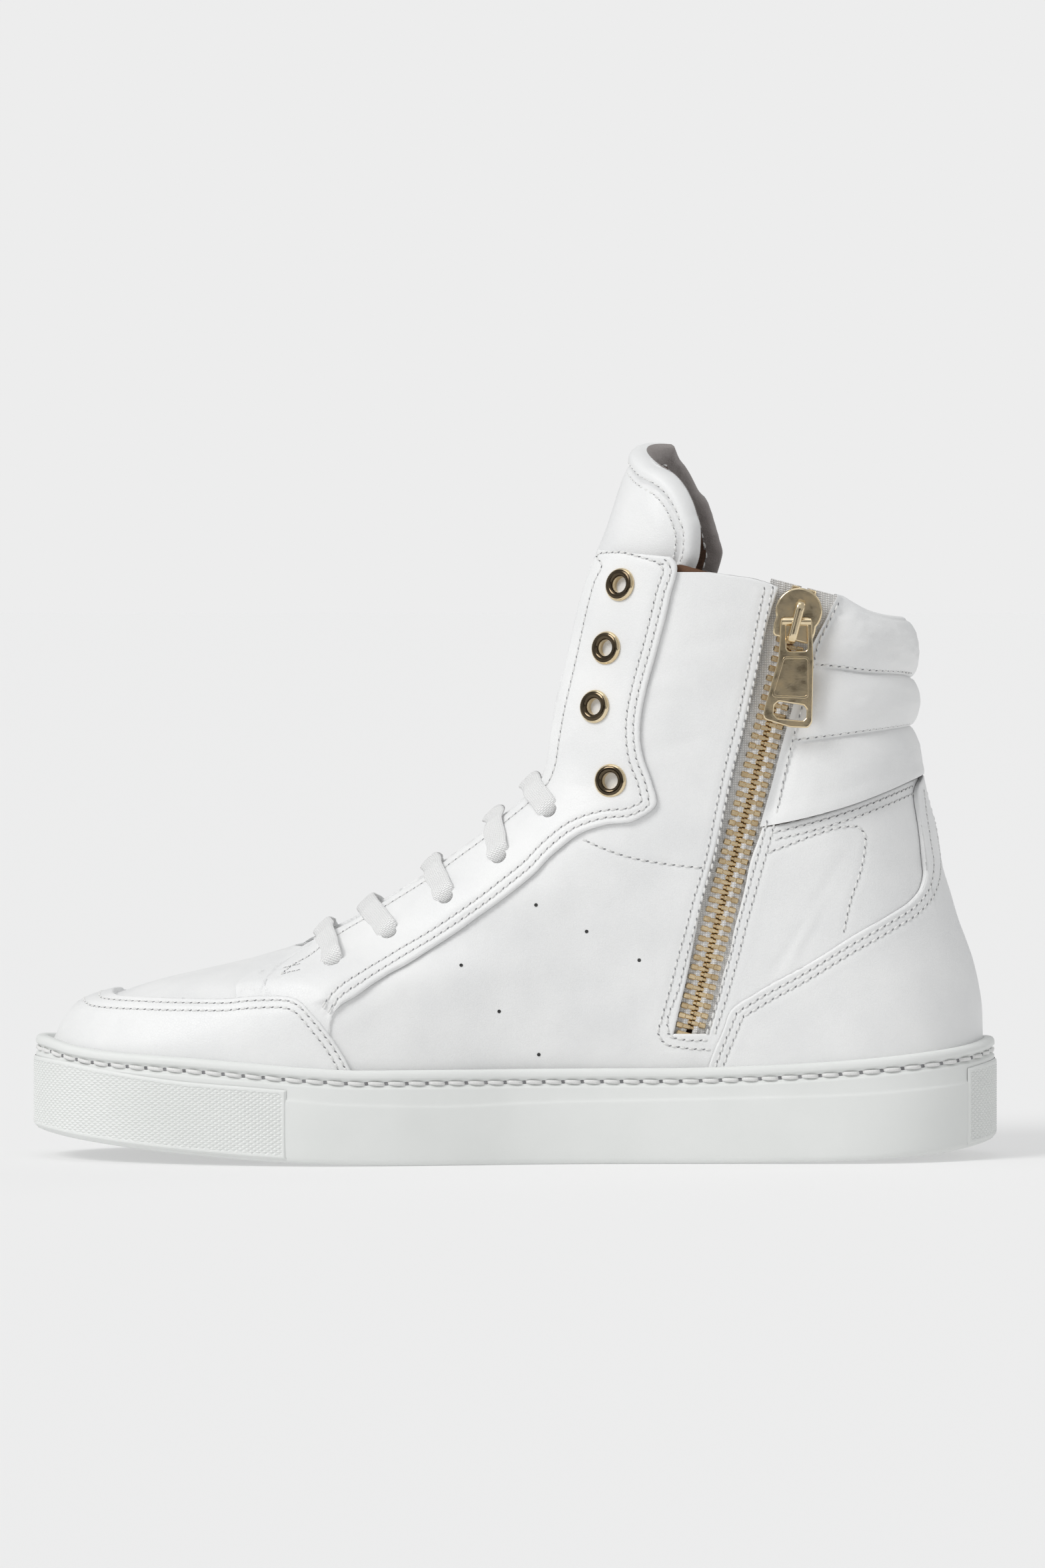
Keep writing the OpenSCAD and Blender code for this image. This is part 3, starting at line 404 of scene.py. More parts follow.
class Seams:
    """Collects seam lines: threads and the painted shade of the needle holes become one mesh each."""
    def __init__(self):
        self.V, self.F, self.HV, self.HF, self.lines = [], [], [], [], []
        self.n = self.hn = 0

    def add(self, pts, side, top, pitch=2.6, slant=22, raw=False, trim=0.0, extra=None, scale=1.0,
        dense=False):
        Q, s = path_on(pts, side, 0.2, raw) if not dense else self._dense(pts, side)
        P, a, z = Q[:, :3], Q[:, 3], Q[:, 4]
        self.lines.append(P[::3])
        N = normal(a, z)
        X = P + N * (top + billow(P) + (extra(a, z, P) if extra is not None else 0))[:, None]
        total = s[-1]
        count = max(1, int((total - 2 * trim) / pitch))
        for i in range(count):
            c = trim + (i + 0.5) * (total - 2 * trim) / count
            self._stitch(X, N, s, c, pitch, slant, scale)
        return self

    def _dense(self, pts, side):
        """Points along a line that is already dense."""
        c = np.asarray(pts, float)
        c = np.stack([ang(c[:, 0], c[:, 1], side), c[:, 1]], 1)
        P = surf(c[:, 0], c[:, 1])
        return along(np.hstack([P, c]), 0.2)

    def _at(self, X, s, q):
        """Row of X at distance q."""
        return np.array([np.interp(q, s, X[:, k]) for k in range(3)])

    def _stitch(self, X, N, s, c, pitch, slant, k):
        """One stitch lying in the leather, and the painted shade of the needle hole after it."""
        p0, p1 = self._at(X, s, c - 0.2), self._at(X, s, c + 0.2)
        t = p1 - p0
        t /= max(np.linalg.norm(t), 1e-9)
        n = self._at(N, s, c)
        n /= np.linalg.norm(n)
        w = np.cross(n, t)
        ca, sa = math.cos(math.radians(slant)), math.sin(math.radians(slant))
        mid = (p0 + p1) / 2
        L = pitch * 0.36 * k
        m, r = 6, 8
        rows_ = []
        for j in range(m + 1):
            u = -1 + 2 * j / m
            ctr = mid + t * (u * L) + n * (-0.02 - 0.42 * k * abs(u) ** 3.0) + w * (0.10 * k * u)
            rad = 0.34 * k * (1 - 0.35 * abs(u) ** 4)
            rows_.append(circle(ctr, w, n, rad, rad * 0.75, r))
        V = np.vstack(rows_)
        self.V.append(V)
        for j in range(m):
            for i in range(r):
                a, b = j * r + i, j * r + (i + 1) % r
                self.F.append((self.n + a, self.n + b, self.n + b + r, self.n + a + r))
        self.F.append(tuple(self.n + i for i in range(r))[::-1])
        self.F.append(tuple(self.n + m * r + i for i in range(r)))
        self.n += len(V)
        # the dark slot where the needle went in, between this stitch and the next, coloured with painted
        # shade
        ctr = self._at(X, s, c + pitch / 2) if c + pitch / 2 < s[-1] else self._at(X, s, c) + t * pitch / 2
        d1 = t * ca + w * sa
        d2 = np.cross(n, d1)
        slot = circle(ctr, d1, d2, 0.50 * k, 0.20 * k, 10)
        self.HV.append(np.vstack([slot - n * 0.06, ctr + (slot - ctr) * 0.45 - n * 0.02]))
        for i in range(10):
            j = (i + 1) % 10
            self.HF.append((self.hn + i, self.hn + j, self.hn + 10 + j, self.hn + 10 + i))
        self.HF.append(tuple(self.hn + 10 + i for i in range(10)))
        self.hn += 20

    def build(self, name, thread, hole, body="shoe"):
        mesh_obj(name + "_thread", np.vstack(self.V), self.F, thread, body)
        mesh_obj(name + "_needle_hole_shade", np.vstack(self.HV), self.HF, hole, body)

    def all_lines(self):
        """Points of all the seams so far, for the grooves under them."""
        return np.vstack(self.lines)

# ---------------------------------------------------------------- materials
def material(name, color, rough=0.5, metallic=0.0, **kw):
    """Principled material; other sockets by name."""
    m = bpy.data.materials.new(name)
    m.use_nodes = True
    nt = m.node_tree
    b = nt.nodes["Principled BSDF"]
    b.inputs["Base Color"].default_value = (*color, 1)
    b.inputs["Roughness"].default_value = rough
    b.inputs["Metallic"].default_value = metallic
    for k, v in kw.items():
        b.inputs[k.replace("_", " ")].default_value = v
    return m, nt, b

def node(nt, kind, **kw):
    """Shader node with properties and socket values by name."""
    n = nt.nodes.new(kind)
    for k, v in kw.items():
        if k in n.bl_rna.properties:
            setattr(n, k, v)
        else:
            n.inputs[k.replace("_", " ")].default_value = v
    return n

def coords(nt, kind="Object"):
    return nt.nodes.new("ShaderNodeTexCoord").outputs[kind]

def tex(nt, P, kind, **kw):
    """Texture node of the given kind at the coordinates P."""
    n = node(nt, "ShaderNodeTex" + kind, **kw)
    nt.links.new(P, n.inputs["Vector"])
    return n

def ramp(nt, src, stops):
    """Colour ramp over src."""
    r = nt.nodes.new("ShaderNodeValToRGB")
    e = r.color_ramp.elements
    while len(e) < len(stops):
        e.new(0.5)
    for el, (p, c) in zip(e, stops):
        el.position = p
        el.color = (*c, 1)
    nt.links.new(src, r.inputs[0])
    return r.outputs[0]

def rough_from(nt, b, src, lo, hi):
    """Roughness between lo and hi, led by src."""
    m = nt.nodes.new("ShaderNodeMapRange")
    nt.links.new(src, m.inputs[0])
    m.inputs[1].default_value, m.inputs[2].default_value = 0.3, 0.7
    m.inputs[3].default_value, m.inputs[4].default_value = lo, hi
    nt.links.new(m.outputs[0], b.inputs["Roughness"])

def bump(nt, b, src, strength, dist, prev=None):
    """Bump from src, on top of an earlier one."""
    n = nt.nodes.new("ShaderNodeBump")
    n.inputs["Strength"].default_value = strength
    n.inputs["Distance"].default_value = dist
    nt.links.new(src, n.inputs["Height"])
    if prev is not None:
        nt.links.new(prev, n.inputs["Normal"])
    nt.links.new(n.outputs[0], b.inputs["Normal"])
    return n.outputs[0]

def leather(name, c1, c2, rough=(0.36, 0.5), grain=0.25, wrinkle=0.2, scale=1.0):
    """Grained leather with slow colour changes and fine wrinkles."""
    m, nt, b = material(name, c1, 0.45)
    P = coords(nt)
    big = tex(nt, P, "Noise", Scale=38.0, Detail=4.0)
    nt.links.new(ramp(nt, big.outputs[0], [(0.35, c1), (0.65, c2)]), b.inputs["Base Color"])
    fine = tex(nt, P, "Noise", Scale=2600.0 * scale, Detail=2.0)
    cell = tex(nt, P, "Voronoi", Scale=1150.0 * scale, feature="DISTANCE_TO_EDGE")
    cr = nt.nodes.new("ShaderNodeMapRange")
    nt.links.new(cell.outputs[0], cr.inputs[0])
    cr.inputs[1].default_value, cr.inputs[2].default_value = 0.0, 0.12
    wr = tex(nt, P, "Noise", Scale=150.0, Detail=3.0, Distortion=0.8)
    rough_from(nt, b, big.outputs[0], *rough)
    n = bump(nt, b, wr.outputs[0], wrinkle, 0.0006)
    n = bump(nt, b, cr.outputs[0], grain, 0.00009, n)
    bump(nt, b, fine.outputs[0], grain * 0.7, 0.00006, n)
    b.inputs["Specular IOR Level"].default_value = 0.42
    return m

WHITE = leather("white_nappa", (0.806, 0.810, 0.812), (0.858, 0.860, 0.858), grain=0.3, wrinkle=0.16)
BROWN = leather("brown_lining", (0.115, 0.052, 0.026), (0.160, 0.078, 0.040), rough=(0.6, 0.8), grain=0.4)
STRIP = leather("grey_binding", (0.245, 0.215, 0.205), (0.330, 0.300, 0.290), rough=(0.4, 0.55), grain=0.6,
    wrinkle=0.8)

def suede():
    m, nt, b = material("brown_suede", (0.075, 0.035, 0.018), 0.9)
    P = coords(nt)
    a = tex(nt, P, "Noise", Scale=900.0, Detail=6.0)
    nt.links.new(ramp(nt, a.outputs[0], [(0.3, (0.055, 0.025, 0.012)), (0.7, (0.115, 0.056, 0.030))]),
        b.inputs["Base Color"])
    bump(nt, b, a.outputs[0], 0.6, 0.0004)
    b.inputs["Sheen Weight"].default_value = 0.4
    return m
SUEDE = suede()

def rubber():
    m, nt, b = material("sole_rubber", (0.74, 0.755, 0.74), 0.55)
    P = coords(nt)
    a = tex(nt, P, "Noise", Scale=26.0, Detail=5.0)
    nt.links.new(ramp(nt, a.outputs[0], [(0.3, (0.745, 0.760, 0.745)), (0.7, (0.800, 0.812, 0.800))]),
        b.inputs["Base Color"])
    f = tex(nt, P, "Noise", Scale=3200.0, Detail=2.0)
    rough_from(nt, b, a.outputs[0], 0.46, 0.62)
    bump(nt, b, f.outputs[0], 0.22, 0.00006)
    b.inputs["Specular IOR Level"].default_value = 0.38
    return m
RUBBER = rubber()

def metal(name, color, dark, rough=(0.14, 0.3)):
    """Polished metal with slight wear."""
    m, nt, b = material(name, color, 0.2, 1.0)
    P = coords(nt)
    a = tex(nt, P, "Noise", Scale=240.0, Detail=6.0)
    nt.links.new(ramp(nt, a.outputs[0], [(0.30, dark), (0.56, color)]), b.inputs["Base Color"])
    s = tex(nt, P, "Noise", Scale=1800.0, Detail=3.0)
    rough_from(nt, b, a.outputs[0], rough[1], rough[0])
    bump(nt, b, s.outputs[0], 0.12, 0.00003)
    return m
GOLD = metal("gold_hardware", (0.83, 0.70, 0.48), (0.72, 0.57, 0.35), rough=(0.10, 0.22))
TEETH = metal("tooth_brass", (0.86, 0.70, 0.46), (0.60, 0.45, 0.26), rough=(0.16, 0.32))
# dark metal for the eyelets' inner rings: painted reflection of dark surroundings, not a metal of its own
PAINTED_REFLECTION_GOLD = metal("eyelet_painted_reflection", (0.11, 0.085, 0.055), (0.06, 0.045, 0.03), rough=(0.10, 0.2))
SILVER = metal("tip_metal", (0.78, 0.78, 0.78), (0.6, 0.6, 0.6))

def woven(name, c1, c2, scale, uvs=False, strength=0.6, dist=0.0002):
    """Cloth with two crossing sets of threads; the colour is darker where the bump is low, between threads:
    painted shade.
    """
    m, nt, b = material(name, c1, 0.85)
    P = coords(nt, "UV" if uvs else "Object")
    w1 = tex(nt, P, "Wave", Scale=scale, Distortion=0.6, bands_direction="X")
    w2 = tex(nt, P, "Wave", Scale=scale, Distortion=0.6, bands_direction="Y" if uvs else "Z")
    mx = nt.nodes.new("ShaderNodeMath")
    mx.operation = "MULTIPLY"
    nt.links.new(w1.outputs[1], mx.inputs[0])
    nt.links.new(w2.outputs[1], mx.inputs[1])
    # darker colour in the troughs between threads: painted shade
    nt.links.new(ramp(nt, mx.outputs[0], [(0.0, c2), (0.5, c1)]), b.inputs["Base Color"])
    bump(nt, b, mx.outputs[0], strength, dist)
    b.inputs["Sheen Weight"].default_value = 0.15
    return m
TAPE = woven("zip_tape_weave", (0.80, 0.795, 0.785), (0.56, 0.55, 0.54), 420.0)

def knit():
    """Knitted lace: loops in staggered rows, with painted shade in the gaps between them."""
    m, nt, b = material("lace_knit", (0.84, 0.84, 0.845), 0.9)
    P = coords(nt, "UV")
    mp = nt.nodes.new("ShaderNodeMapping")
    nt.links.new(P, mp.inputs[0])
    br = node(nt, "ShaderNodeTexBrick", Scale=1.0, offset=0.5)
    nt.links.new(mp.outputs[0], br.inputs["Vector"])
    br.inputs["Brick Width"].default_value = 0.9
    br.inputs["Row Height"].default_value = 0.42
    br.inputs["Mortar Size"].default_value = 0.09
    br.inputs["Mortar Smooth"].default_value = 1.0
    br.inputs["Color1"].default_value = (1, 1, 1, 1)
    br.inputs["Color2"].default_value = (0.85, 0.85, 0.85, 1)
    br.inputs["Mortar"].default_value = (0, 0, 0, 1)
    # base colour darker in the gaps between loops, where the bump is low: painted shade
    nt.links.new(ramp(nt, br.outputs[0], [(0.0, (0.80, 0.80, 0.80)), (0.6, (0.93, 0.93, 0.925))]),
        b.inputs["Base Color"])
    bump(nt, b, br.outputs[0], 0.8, 0.00025)
    b.inputs["Sheen Weight"].default_value = 0.3
    return m
KNIT = knit()

def small_part(name, color, rough, scale, lo, hi, strength=0.0):
    """Finish of thread, and of the painted shade in needle holes and vent holes: slightly uneven, with a bump
    where strength is given.
    """
    m, nt, b = material(name, color, rough)
    n = tex(nt, coords(nt), "Noise", Scale=scale)
    if strength:
        bump(nt, b, n.outputs[0], strength, 0.0001)
    nt.links.new(ramp(nt, n.outputs[0], [(0.3, lo), (0.7, hi)]), b.inputs["Base Color"])
    return m
THREAD = small_part("seam_thread", (0.80, 0.80, 0.79), 0.6, 4000.0, (0.70, 0.70, 0.69), (0.82, 0.82, 0.81),
    0.4)
# dark grey for the needle holes: painted shade inside the holes
NEEDLE_SHADE = small_part("needle_hole_shade", (0.20, 0.20, 0.205), 0.9, 700.0, (0.15, 0.15, 0.155), (0.30, 0.30, 0.31))
# near-black for the vent discs: painted shade inside the holes
VENT_SHADE = small_part("vent_painted_shade", (0.03, 0.03, 0.03), 0.9, 700.0, (0.02, 0.02, 0.02), (0.05, 0.05, 0.05))
INSOLE = leather("footbed_leather", (0.62, 0.58, 0.52), (0.70, 0.66, 0.60), rough=(0.55, 0.7), grain=0.4)

# ---------------------------------------------------------------- sole
def outline(step=0.35, z=24.0):
    """Outline of the upper at height z: points, outward directions, distances."""
    a = np.linspace(0, 360, 7201)
    P = surf(np.where(a > 180, a - 360, a), z)[:, :2]
    d = np.r_[0, np.cumsum(np.linalg.norm(np.diff(P, axis=0), axis=1))]
    n = int(d[-1] / step)
    s = np.linspace(0, d[-1], n, endpoint=False)
    C = np.stack([np.interp(s, d, P[:, 0]), np.interp(s, d, P[:, 1])], 1)
    k = 9
    ker = np.hanning(2 * k + 3)[1:-1]
    ker /= ker.sum()
    T = np.roll(C, -1, 0) - np.roll(C, 1, 0)
    T = np.stack([np.convolve(np.r_[T[-k:, i], T[:, i], T[:k, i]], ker, "valid") for i in (0, 1)], 1)
    T /= np.linalg.norm(T, axis=1, keepdims=True)
    Nn = np.stack([T[:, 1], -T[:, 0]], 1)
    if (Nn[0] @ (C[0] - C.mean(0))) < 0:
        Nn = -Nn
    return C, Nn, s
OUT, OUTN, OUTS = outline()
ledge_z = pchip([[-80, 20.8], [-68.7, 20.3], [-56, 19.1], [-36, 18.4], [-21, 18.2], [0, 18.9], [50, 19.9],
    [100, 21.2], [124, 23], [140, 25]])

def ring_surface(C, N, prof):
    """Closed wall round the outline C, N; its profile prof(x) gives (offset, height) rows."""
    R = prof(C[:, 0] - CX)
    V = np.stack([C[None, :, 0] + R[0] * N[None, :, 0], C[None, :, 1] + R[0] * N[None, :, 1], R[1]], -1)
    m, n = V.shape[:2]
    idx = np.arange(m * n).reshape(m, n)
    nx = np.roll(idx, -1, 1)
    F = np.stack([idx[:-1], nx[:-1], nx[1:], idx[1:]], -1).reshape(-1, 4)
    return V.reshape(-1, 3), F

# wall profile: offset from the outline, what the height counts from (0 sole, 1 rim, 2 ledge), height
WALL = [(3.0, 0, 0.0), (4.3, 0, 0.06), (5.0, 0, 0.4), (5.4, 0, 1.0), (5.58, 0, 2.0), (5.66, 0, 4.5),
    (5.72, 0, 9.0),
    (5.74, 2, -0.9), (5.70, 2, -0.35), (5.58, 2, -0.05), (5.42, 2, 0.25), (5.36, 2, 0.8), (5.36, 1, -6.2),
        (5.36, 1, -5.75),
    (5.28, 1, -5.5), (5.0, 1, -5.25), (4.6, 1, -4.9), (4.35, 1, -4.45), (4.28, 1, -4.0), (4.35, 1, -3.55),
        (4.6, 1, -3.1),
    (5.0, 1, -2.75), (5.30, 1, -2.5), (5.42, 1, -2.2), (5.44, 1, -1.6), (5.34, 1, -1.05), (5.05, 1, -0.5),
        (4.55, 1, -0.15),
    (3.9, 1, 0.0), (3.0, 1, 0.0), (2.2, 1, -0.15), (1.75, 1, -0.55), (1.6, 1, -1.4), (1.6, 1, -5.0)]

def wall(x):
    """Profile of the cup sole at length x: offsets and heights."""
    zb, zr, zl = sole_z(x), rim_z(x), ledge_z(x)
    zl = np.minimum(zl, zr - 7.6)
    base = (zb, zr, zl)
    d = np.array([[w[0]] for w in WALL]) + np.zeros((1, len(x)))
    z = np.array([base[w[1]] + w[2] for w in WALL])
    z = np.maximum.accumulate(z[:-6], 0).tolist() + z[-6:].tolist()
    return d, np.array(z)
V, F = ring_surface(OUT, OUTN, wall)
wall_n = len(V)
# underside: rings that close towards the middle line, cut with a shallow tread
rings = 46
X = OUT[:, 0]
spine = np.stack([np.clip(X, -118, 112), np.interp(X, [-150, -100, -40, 20, 70, 150], [-5, -1, 1.5, 2.5, -1,
    -2.5])], 1)
U = []
for k in range(rings + 1):
    f = (k / rings) ** 0.9
    xy = (OUT + OUTN * 3.0) * (1 - f) + spine * f
    x, y = xy[:, 0], xy[:, 1]
    edge = np.linalg.norm(xy - OUT, axis=1)
    gx = np.abs(((x + 0.35 * np.abs(((y / 9) % 2) - 1) * 18) / 7.5) % 1 - 0.5)
    cut = ease((gx - 0.36) / 0.06) * ease((edge - 8) / 1.5)
    bar = ease((1.1 - np.abs(edge - 6.2)) / 0.5)
    U.append(np.stack([x, y, sole_z(x - CX) + 1.3 * np.clip(cut + bar, 0, 1) * (k > 0)], 1))
U = np.vstack(U)
n = len(OUT)
idx = np.arange(len(U)).reshape(rings + 1, n) + wall_n
G = np.stack([idx[:-1], idx[1:], np.roll(idx[1:], -1, 1), np.roll(idx[:-1], -1, 1)], -1).reshape(-1, 4)
cupsole = mesh_obj("cupsole_visual", np.vstack([V, U]), np.vstack([F, G]), RUBBER)
sharp_by_angle(cupsole, 50)
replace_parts(cupsole, "cupsole", "sole_filler")

# moulded diamond patches at the toe and the heel
def diamond_patch(name, sel, top, border=1.3, step=0.2625):
    """Moulded patch of small pyramids where sel(x, y) holds, up to the height top(x), with a plain border."""
    C, N, S = outline(step)
    step = S[1]
    x = C[:, 0] - CX
    keep = sel(x, C[:, 1])
    k0 = np.argmax(~keep)
    order = np.roll(np.arange(len(C)), -k0)
    keep = keep[order]
    i = np.where(keep)[0]
    order = order[i[0]:i[-1] + 1]
    C, N, x = C[order], N[order], x[order]
    s = np.arange(len(C)) * step
    lo, hi = sole_z(x) + 1.1, top(x)
    rows_z = np.arange(1.0, 33.0, 1.4 / 6)[:, None]
    z = np.clip(rows_z, lo, hi) + 1e-4 * (rows_z - 16)
    h = z - lo
    u, w = s[None] / (8 * step), (z - 8.0) / 1.4
    p, q = (u + w) % 1 - 0.5, (u - w) % 1 - 0.5
    pyr = 0.44 * (1 - 2 * np.maximum(np.abs(p), np.abs(q)))
    e = np.minimum(np.minimum(h, hi - z), np.minimum(s[None], (s[-1] - s)[None]))
    d = 5.72 + np.where(e < border, 0.36 - 0.5 * (1 - ease(e / 0.7)), 0.05 + pyr)
    P = np.stack([C[None, :, 0] + N[None, :, 0] * d, C[None, :, 1] + N[None, :, 1] * d, z], -1)
    ob = mesh_obj(name, P.reshape(-1, 3), quads(*P.shape[:2]), RUBBER)
    sharp_by_angle(ob, 28)
toe_top = pchip([[-152, 31.8], [-147.5, 31.6], [-140, 31.2], [-124, 28.7], [-100, 25.6], [-83, 24.4],
    [-68.7, 23.3]])
diamond_patch("sole_toe_diamonds", lambda x, y: x < -69.4, toe_top)
heel_top = pchip([[134, 28.4], [139, 29.6], [144.7, 30.8], [152, 31.2]])
diamond_patch("sole_heel_diamonds", lambda x, y: x > 134.4, heel_top)

# welt thread: long stitches in the groove
def welt():
    V, F, HV, HF = [], [], [], []
    n = hn = 0
    total = OUTS[-1] + 0.35
    count = int(round(total / 6.1))
    pitch = total / count
    def at(s):
        s = s % total
        x = np.interp(s, OUTS, OUT[:, 0], period=total)
        y = np.interp(s, OUTS, OUT[:, 1], period=total)
        nx = np.interp(s, OUTS, OUTN[:, 0], period=total)
        ny = np.interp(s, OUTS, OUTN[:, 1], period=total)
        return np.array([x, y]), np.array([nx, ny]) / math.hypot(nx, ny)
    for i in range(count):
        c = i * pitch
        rows_ = []
        for j in range(13):
            u = -1 + j / 6
            p, nn = at(c + u * pitch * 0.47)
            z = rim_z(p[0] - CX) - 4.0 + 0.18 * u
            d = 4.95 - 1.25 * abs(u) ** 3.2
            ctr = np.array([p[0] + nn[0] * d, p[1] + nn[1] * d, z])
            r = 0.62 * (1 - 0.25 * u * u)
            rows_.append(circle(ctr, [nn[0], nn[1], 0], [0, 0, 1], r * 0.85, r, 10))
        V.append(np.vstack(rows_))
        for j in range(12):
            for k in range(10):
                a, b = j * 10 + k, j * 10 + (k + 1) % 10
                F.append((n + a, n + b, n + b + 10, n + a + 10))
        n += 130
        # dark disc in the needle hole between two stitches: painted shade
        p, nn = at(c + pitch / 2)
        z = rim_z(p[0] - CX) - 4.0
        t = np.array([-nn[1], nn[0], 0])
        ctr = np.array([p[0] + nn[0] * 4.42, p[1] + nn[1] * 4.42, z])
        ring = circle(ctr, t, [0, 0, 1], 0.95, 0.55, 12)
        HV.append(np.vstack([ring, ctr + (ring - ctr) * 0.5 + np.array([nn[0], nn[1], 0]) * 0.06]))
        for k in range(12):
            HF.append((hn + k, hn + (k + 1) % 12, hn + 12 + (k + 1) % 12, hn + 12 + k))
        HF.append(tuple(hn + 12 + k for k in range(12)))
        hn += 24
    a = mesh_obj("welt_thread", np.vstack(V), F, THREAD)
    mesh_obj("welt_hole_shade", np.vstack(HV), HF, NEEDLE_SHADE)
    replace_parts(a, "sole_stitching")
welt()

# ---------------------------------------------------------------- lines of the upper
NEAR, FAR = -1, 1
MUD = [[-121, 49.2], [-114, 49.2], [-100, 49.4], [-89, 49.7], [-78.5, 50.7], [-72.3, 50.9], [-68.2, 50.4],
    [-65, 48.8], [-62, 45.7], [-58.9, 42.1], [-55.8, 38], [-53.2, 33.9], [-51, 29.7], [-48, 24], [-46, 19]]
HEEL = [[58.4, 26], [58.6, 29.4], [61, 35.9], [63.6, 42.1], [66.1, 47.6], [70.3, 50.4], [75.4, 53.5],
    [85.8, 59.2], [100.2, 68],
    [113.7, 75.7], [120.6, 80], [124, 84.2], [125, 89.4], [124.2, 96.8], [123, 106], [122.4, 113]]
STAY_A = [[-77.8, 51.7], [-76.5, 54.5], [-73.5, 58.2], [-69.2, 61.2], [-64.2, 63.8]]
STAY_Z = [67.5, 69.5, 72, 76, 81, 86, 92, 98, 104, 110, 116, 121, 126, 131, 138, 146, 154, 162, 170, 178,
    184, 187.6]
STAY_B = [[-78.2, 49.0], [-73.5, 48.6], [-69, 48.2], [-65.4, 46.2], [-61.9, 42.8], [-58.0, 38.4],
    [-56.4, 45.0],
    [-52.5, 49.6], [-46, 53.7], [-36, 59.6], [-25, 66.2], [-14, 73.8], [-4, 80.8], [5, 88], [12, 95],
    [18.8, 100.4], [27, 103.5], [36, 104.9], [42, 108.8], [41.6, 116], [38.6, 125], [37.9, 134], [40, 146],
    [43.5, 159], [47, 173], [49, 183.5], [47.6, 185.5]]
OPEN_L = pchip([[36, 47.0], [41, 48.4], [48.3, 50.1], [58.7, 52.5], [69, 54.5], [79.3, 56.6], [89.7, 59.1],
    [100, 61.8],
    [117.7, 65.5], [127.9, 68.3], [141, 71.1], [154.1, 74.3], [165.3, 76.7], [175.5, 79.8], [180, 81]])
OPEN_R = pchip([[36, 58], [39, 58.7], [48.3, 61.2], [58.7, 63.8], [69, 66.1], [79.3, 68.7], [89.7, 71.1],
    [100, 73.6],
    [115, 77.8], [130, 81.8], [146, 86.6], [157, 90], [167, 94.4], [176, 98], [182, 100]])
PAD = pchip([[60, 99.5], [75, 102.8], [78.6, 103.4], [98.9, 108.7], [113, 113.6], [121, 116.6],
    [127, 118.6]])
SEAM2 = pchip([[60, 125.5], [84.2, 128.5], [110.1, 131.9], [122.8, 133.4]])
SEAM1 = pchip([[60, 152], [90.4, 151.8], [98.1, 151.2], [106.7, 150.1], [120, 149.2], [123.2, 148.1]])
TOP = pchip([[45, 185.4], [49.1, 184.4], [53.3, 182.1], [58.9, 180.7], [64.9, 180.2], [72, 179.3],
    [75.7, 178.3], [79.9, 176.9],
    [98.1, 173.5], [110.8, 167.9], [116.8, 166.6], [122.1, 166.1], [127, 166]])
EDGE_X = pchip([[166, 124], [166.8, 116], [168.4, 110], [173.4, 98], [176.8, 80], [179.2, 72], [180.3, 64],
    [182.1, 53], [184.2, 49], [188, 24]])
def throat_x(z):
    """Length of the throat's edge at height z."""
    return front(z) + 4.6

def az(x, z, s):
    """Angle and height of the side-view point x, z on side s."""
    return np.stack([ang(np.asarray(x, float), np.asarray(z, float), s), np.asarray(z, float) + 0
        * np.asarray(x, float)], -1)

# ---------------------------------------------------------------- lace holes and eyelets
# each as (length, height), from the toe up
LACE_P = [[-56.3, 60.2], [-38.7, 69.3], [-21.3, 80.5], [-4.7, 92.5], [10.8, 107]]
EYELET_P = [[29.2, 117], [24.7, 139.6], [28.1, 157.6], [32.8, 176.8]]
LIFT, OVER = 0.6, 1.2                   # inner face of the overlays over the upper, and their thickness
ON_TOP = LIFT + OVER

def spot(x, z, s, d=0.0):
    """Point of the leather at x, z, raised by d, and its direction."""
    a = ang(x, z, s)
    n = normal(a, z)
    p = surf(a, z)
    return p + n * (d + billow(p)), n

def holes_of(s, only=None):
    """Lace and eyelet holes of one side as (centre, axis, radius)."""
    out = []
    for x, z in LACE_P if only != "eyelets" else []:
        p, n = spot(x, z, s, 1.8)
        out.append((p, n, 2.5))
    for x, z in EYELET_P if only != "laces" else []:
        p, n = spot(x, z, s, 1.8)
        out.append((p, n, 3.2))
    return out

def wider(s):
    """The lace holes as they are in the quarter, under the eyestay."""
    return [(c, ax, r + 0.3) for c, ax, r in holes_of(s, "laces")]

# ---------------------------------------------------------------- seams
over = Seams()   # on the overlay panels
base = Seams()   # on the main panels
def double(seams, pts, side, a, b, top, **kw):
    """Two seams beside a line, at the distances a and b."""
    for d in (a, b):
        seams.add(offset_line(pts, d), side, top, dense=True, **kw)

stay_rear = STAY_B[6:]
for s in (NEAR, FAR):
    double(over, stay_rear, s, 1.9, 4.1, ON_TOP + 0.02)
    front_line = [[throat_x(z) + 2.6, z] for z in STAY_Z[1:13]]
    over.add([[-72.5, 56.2], [-68.5, 58.9], [-64, 61.2], [-58.8, 64.8]] + front_line[1:]
        + [[throat_x(z) + 2.8, z] for z in (138, 146, 154, 162, 170, 178, 183)]
        + [[26, 185.2], [32, 186.6], [39, 185.2], [45.2, 183.2]], s, ON_TOP + 0.02)
    for k in range(2):
        over.add([[-72 + 0.2 * k, 56.6 + 1.6 * k], [-66.2, 57.8 + 1.5 * k]], s, ON_TOP + 0.05,
            pitch=1.3, scale=0.7)
    double(over, HEEL[1:], s, -2.0, -4.2, ON_TOP + 0.12)
    base.add([[19.6, 99.5], [24.8, 97.1], [35.1, 93.6], [45.5, 91.7], [56.3, 90.5]], s, 0.05)
    pad = [[x, float(PAD(x))] for x in (77.5, 84, 91, 98.9, 106, 113, 118, 121.6)]
    double(base, pad, s, -2.0, -4.2, 0.05)
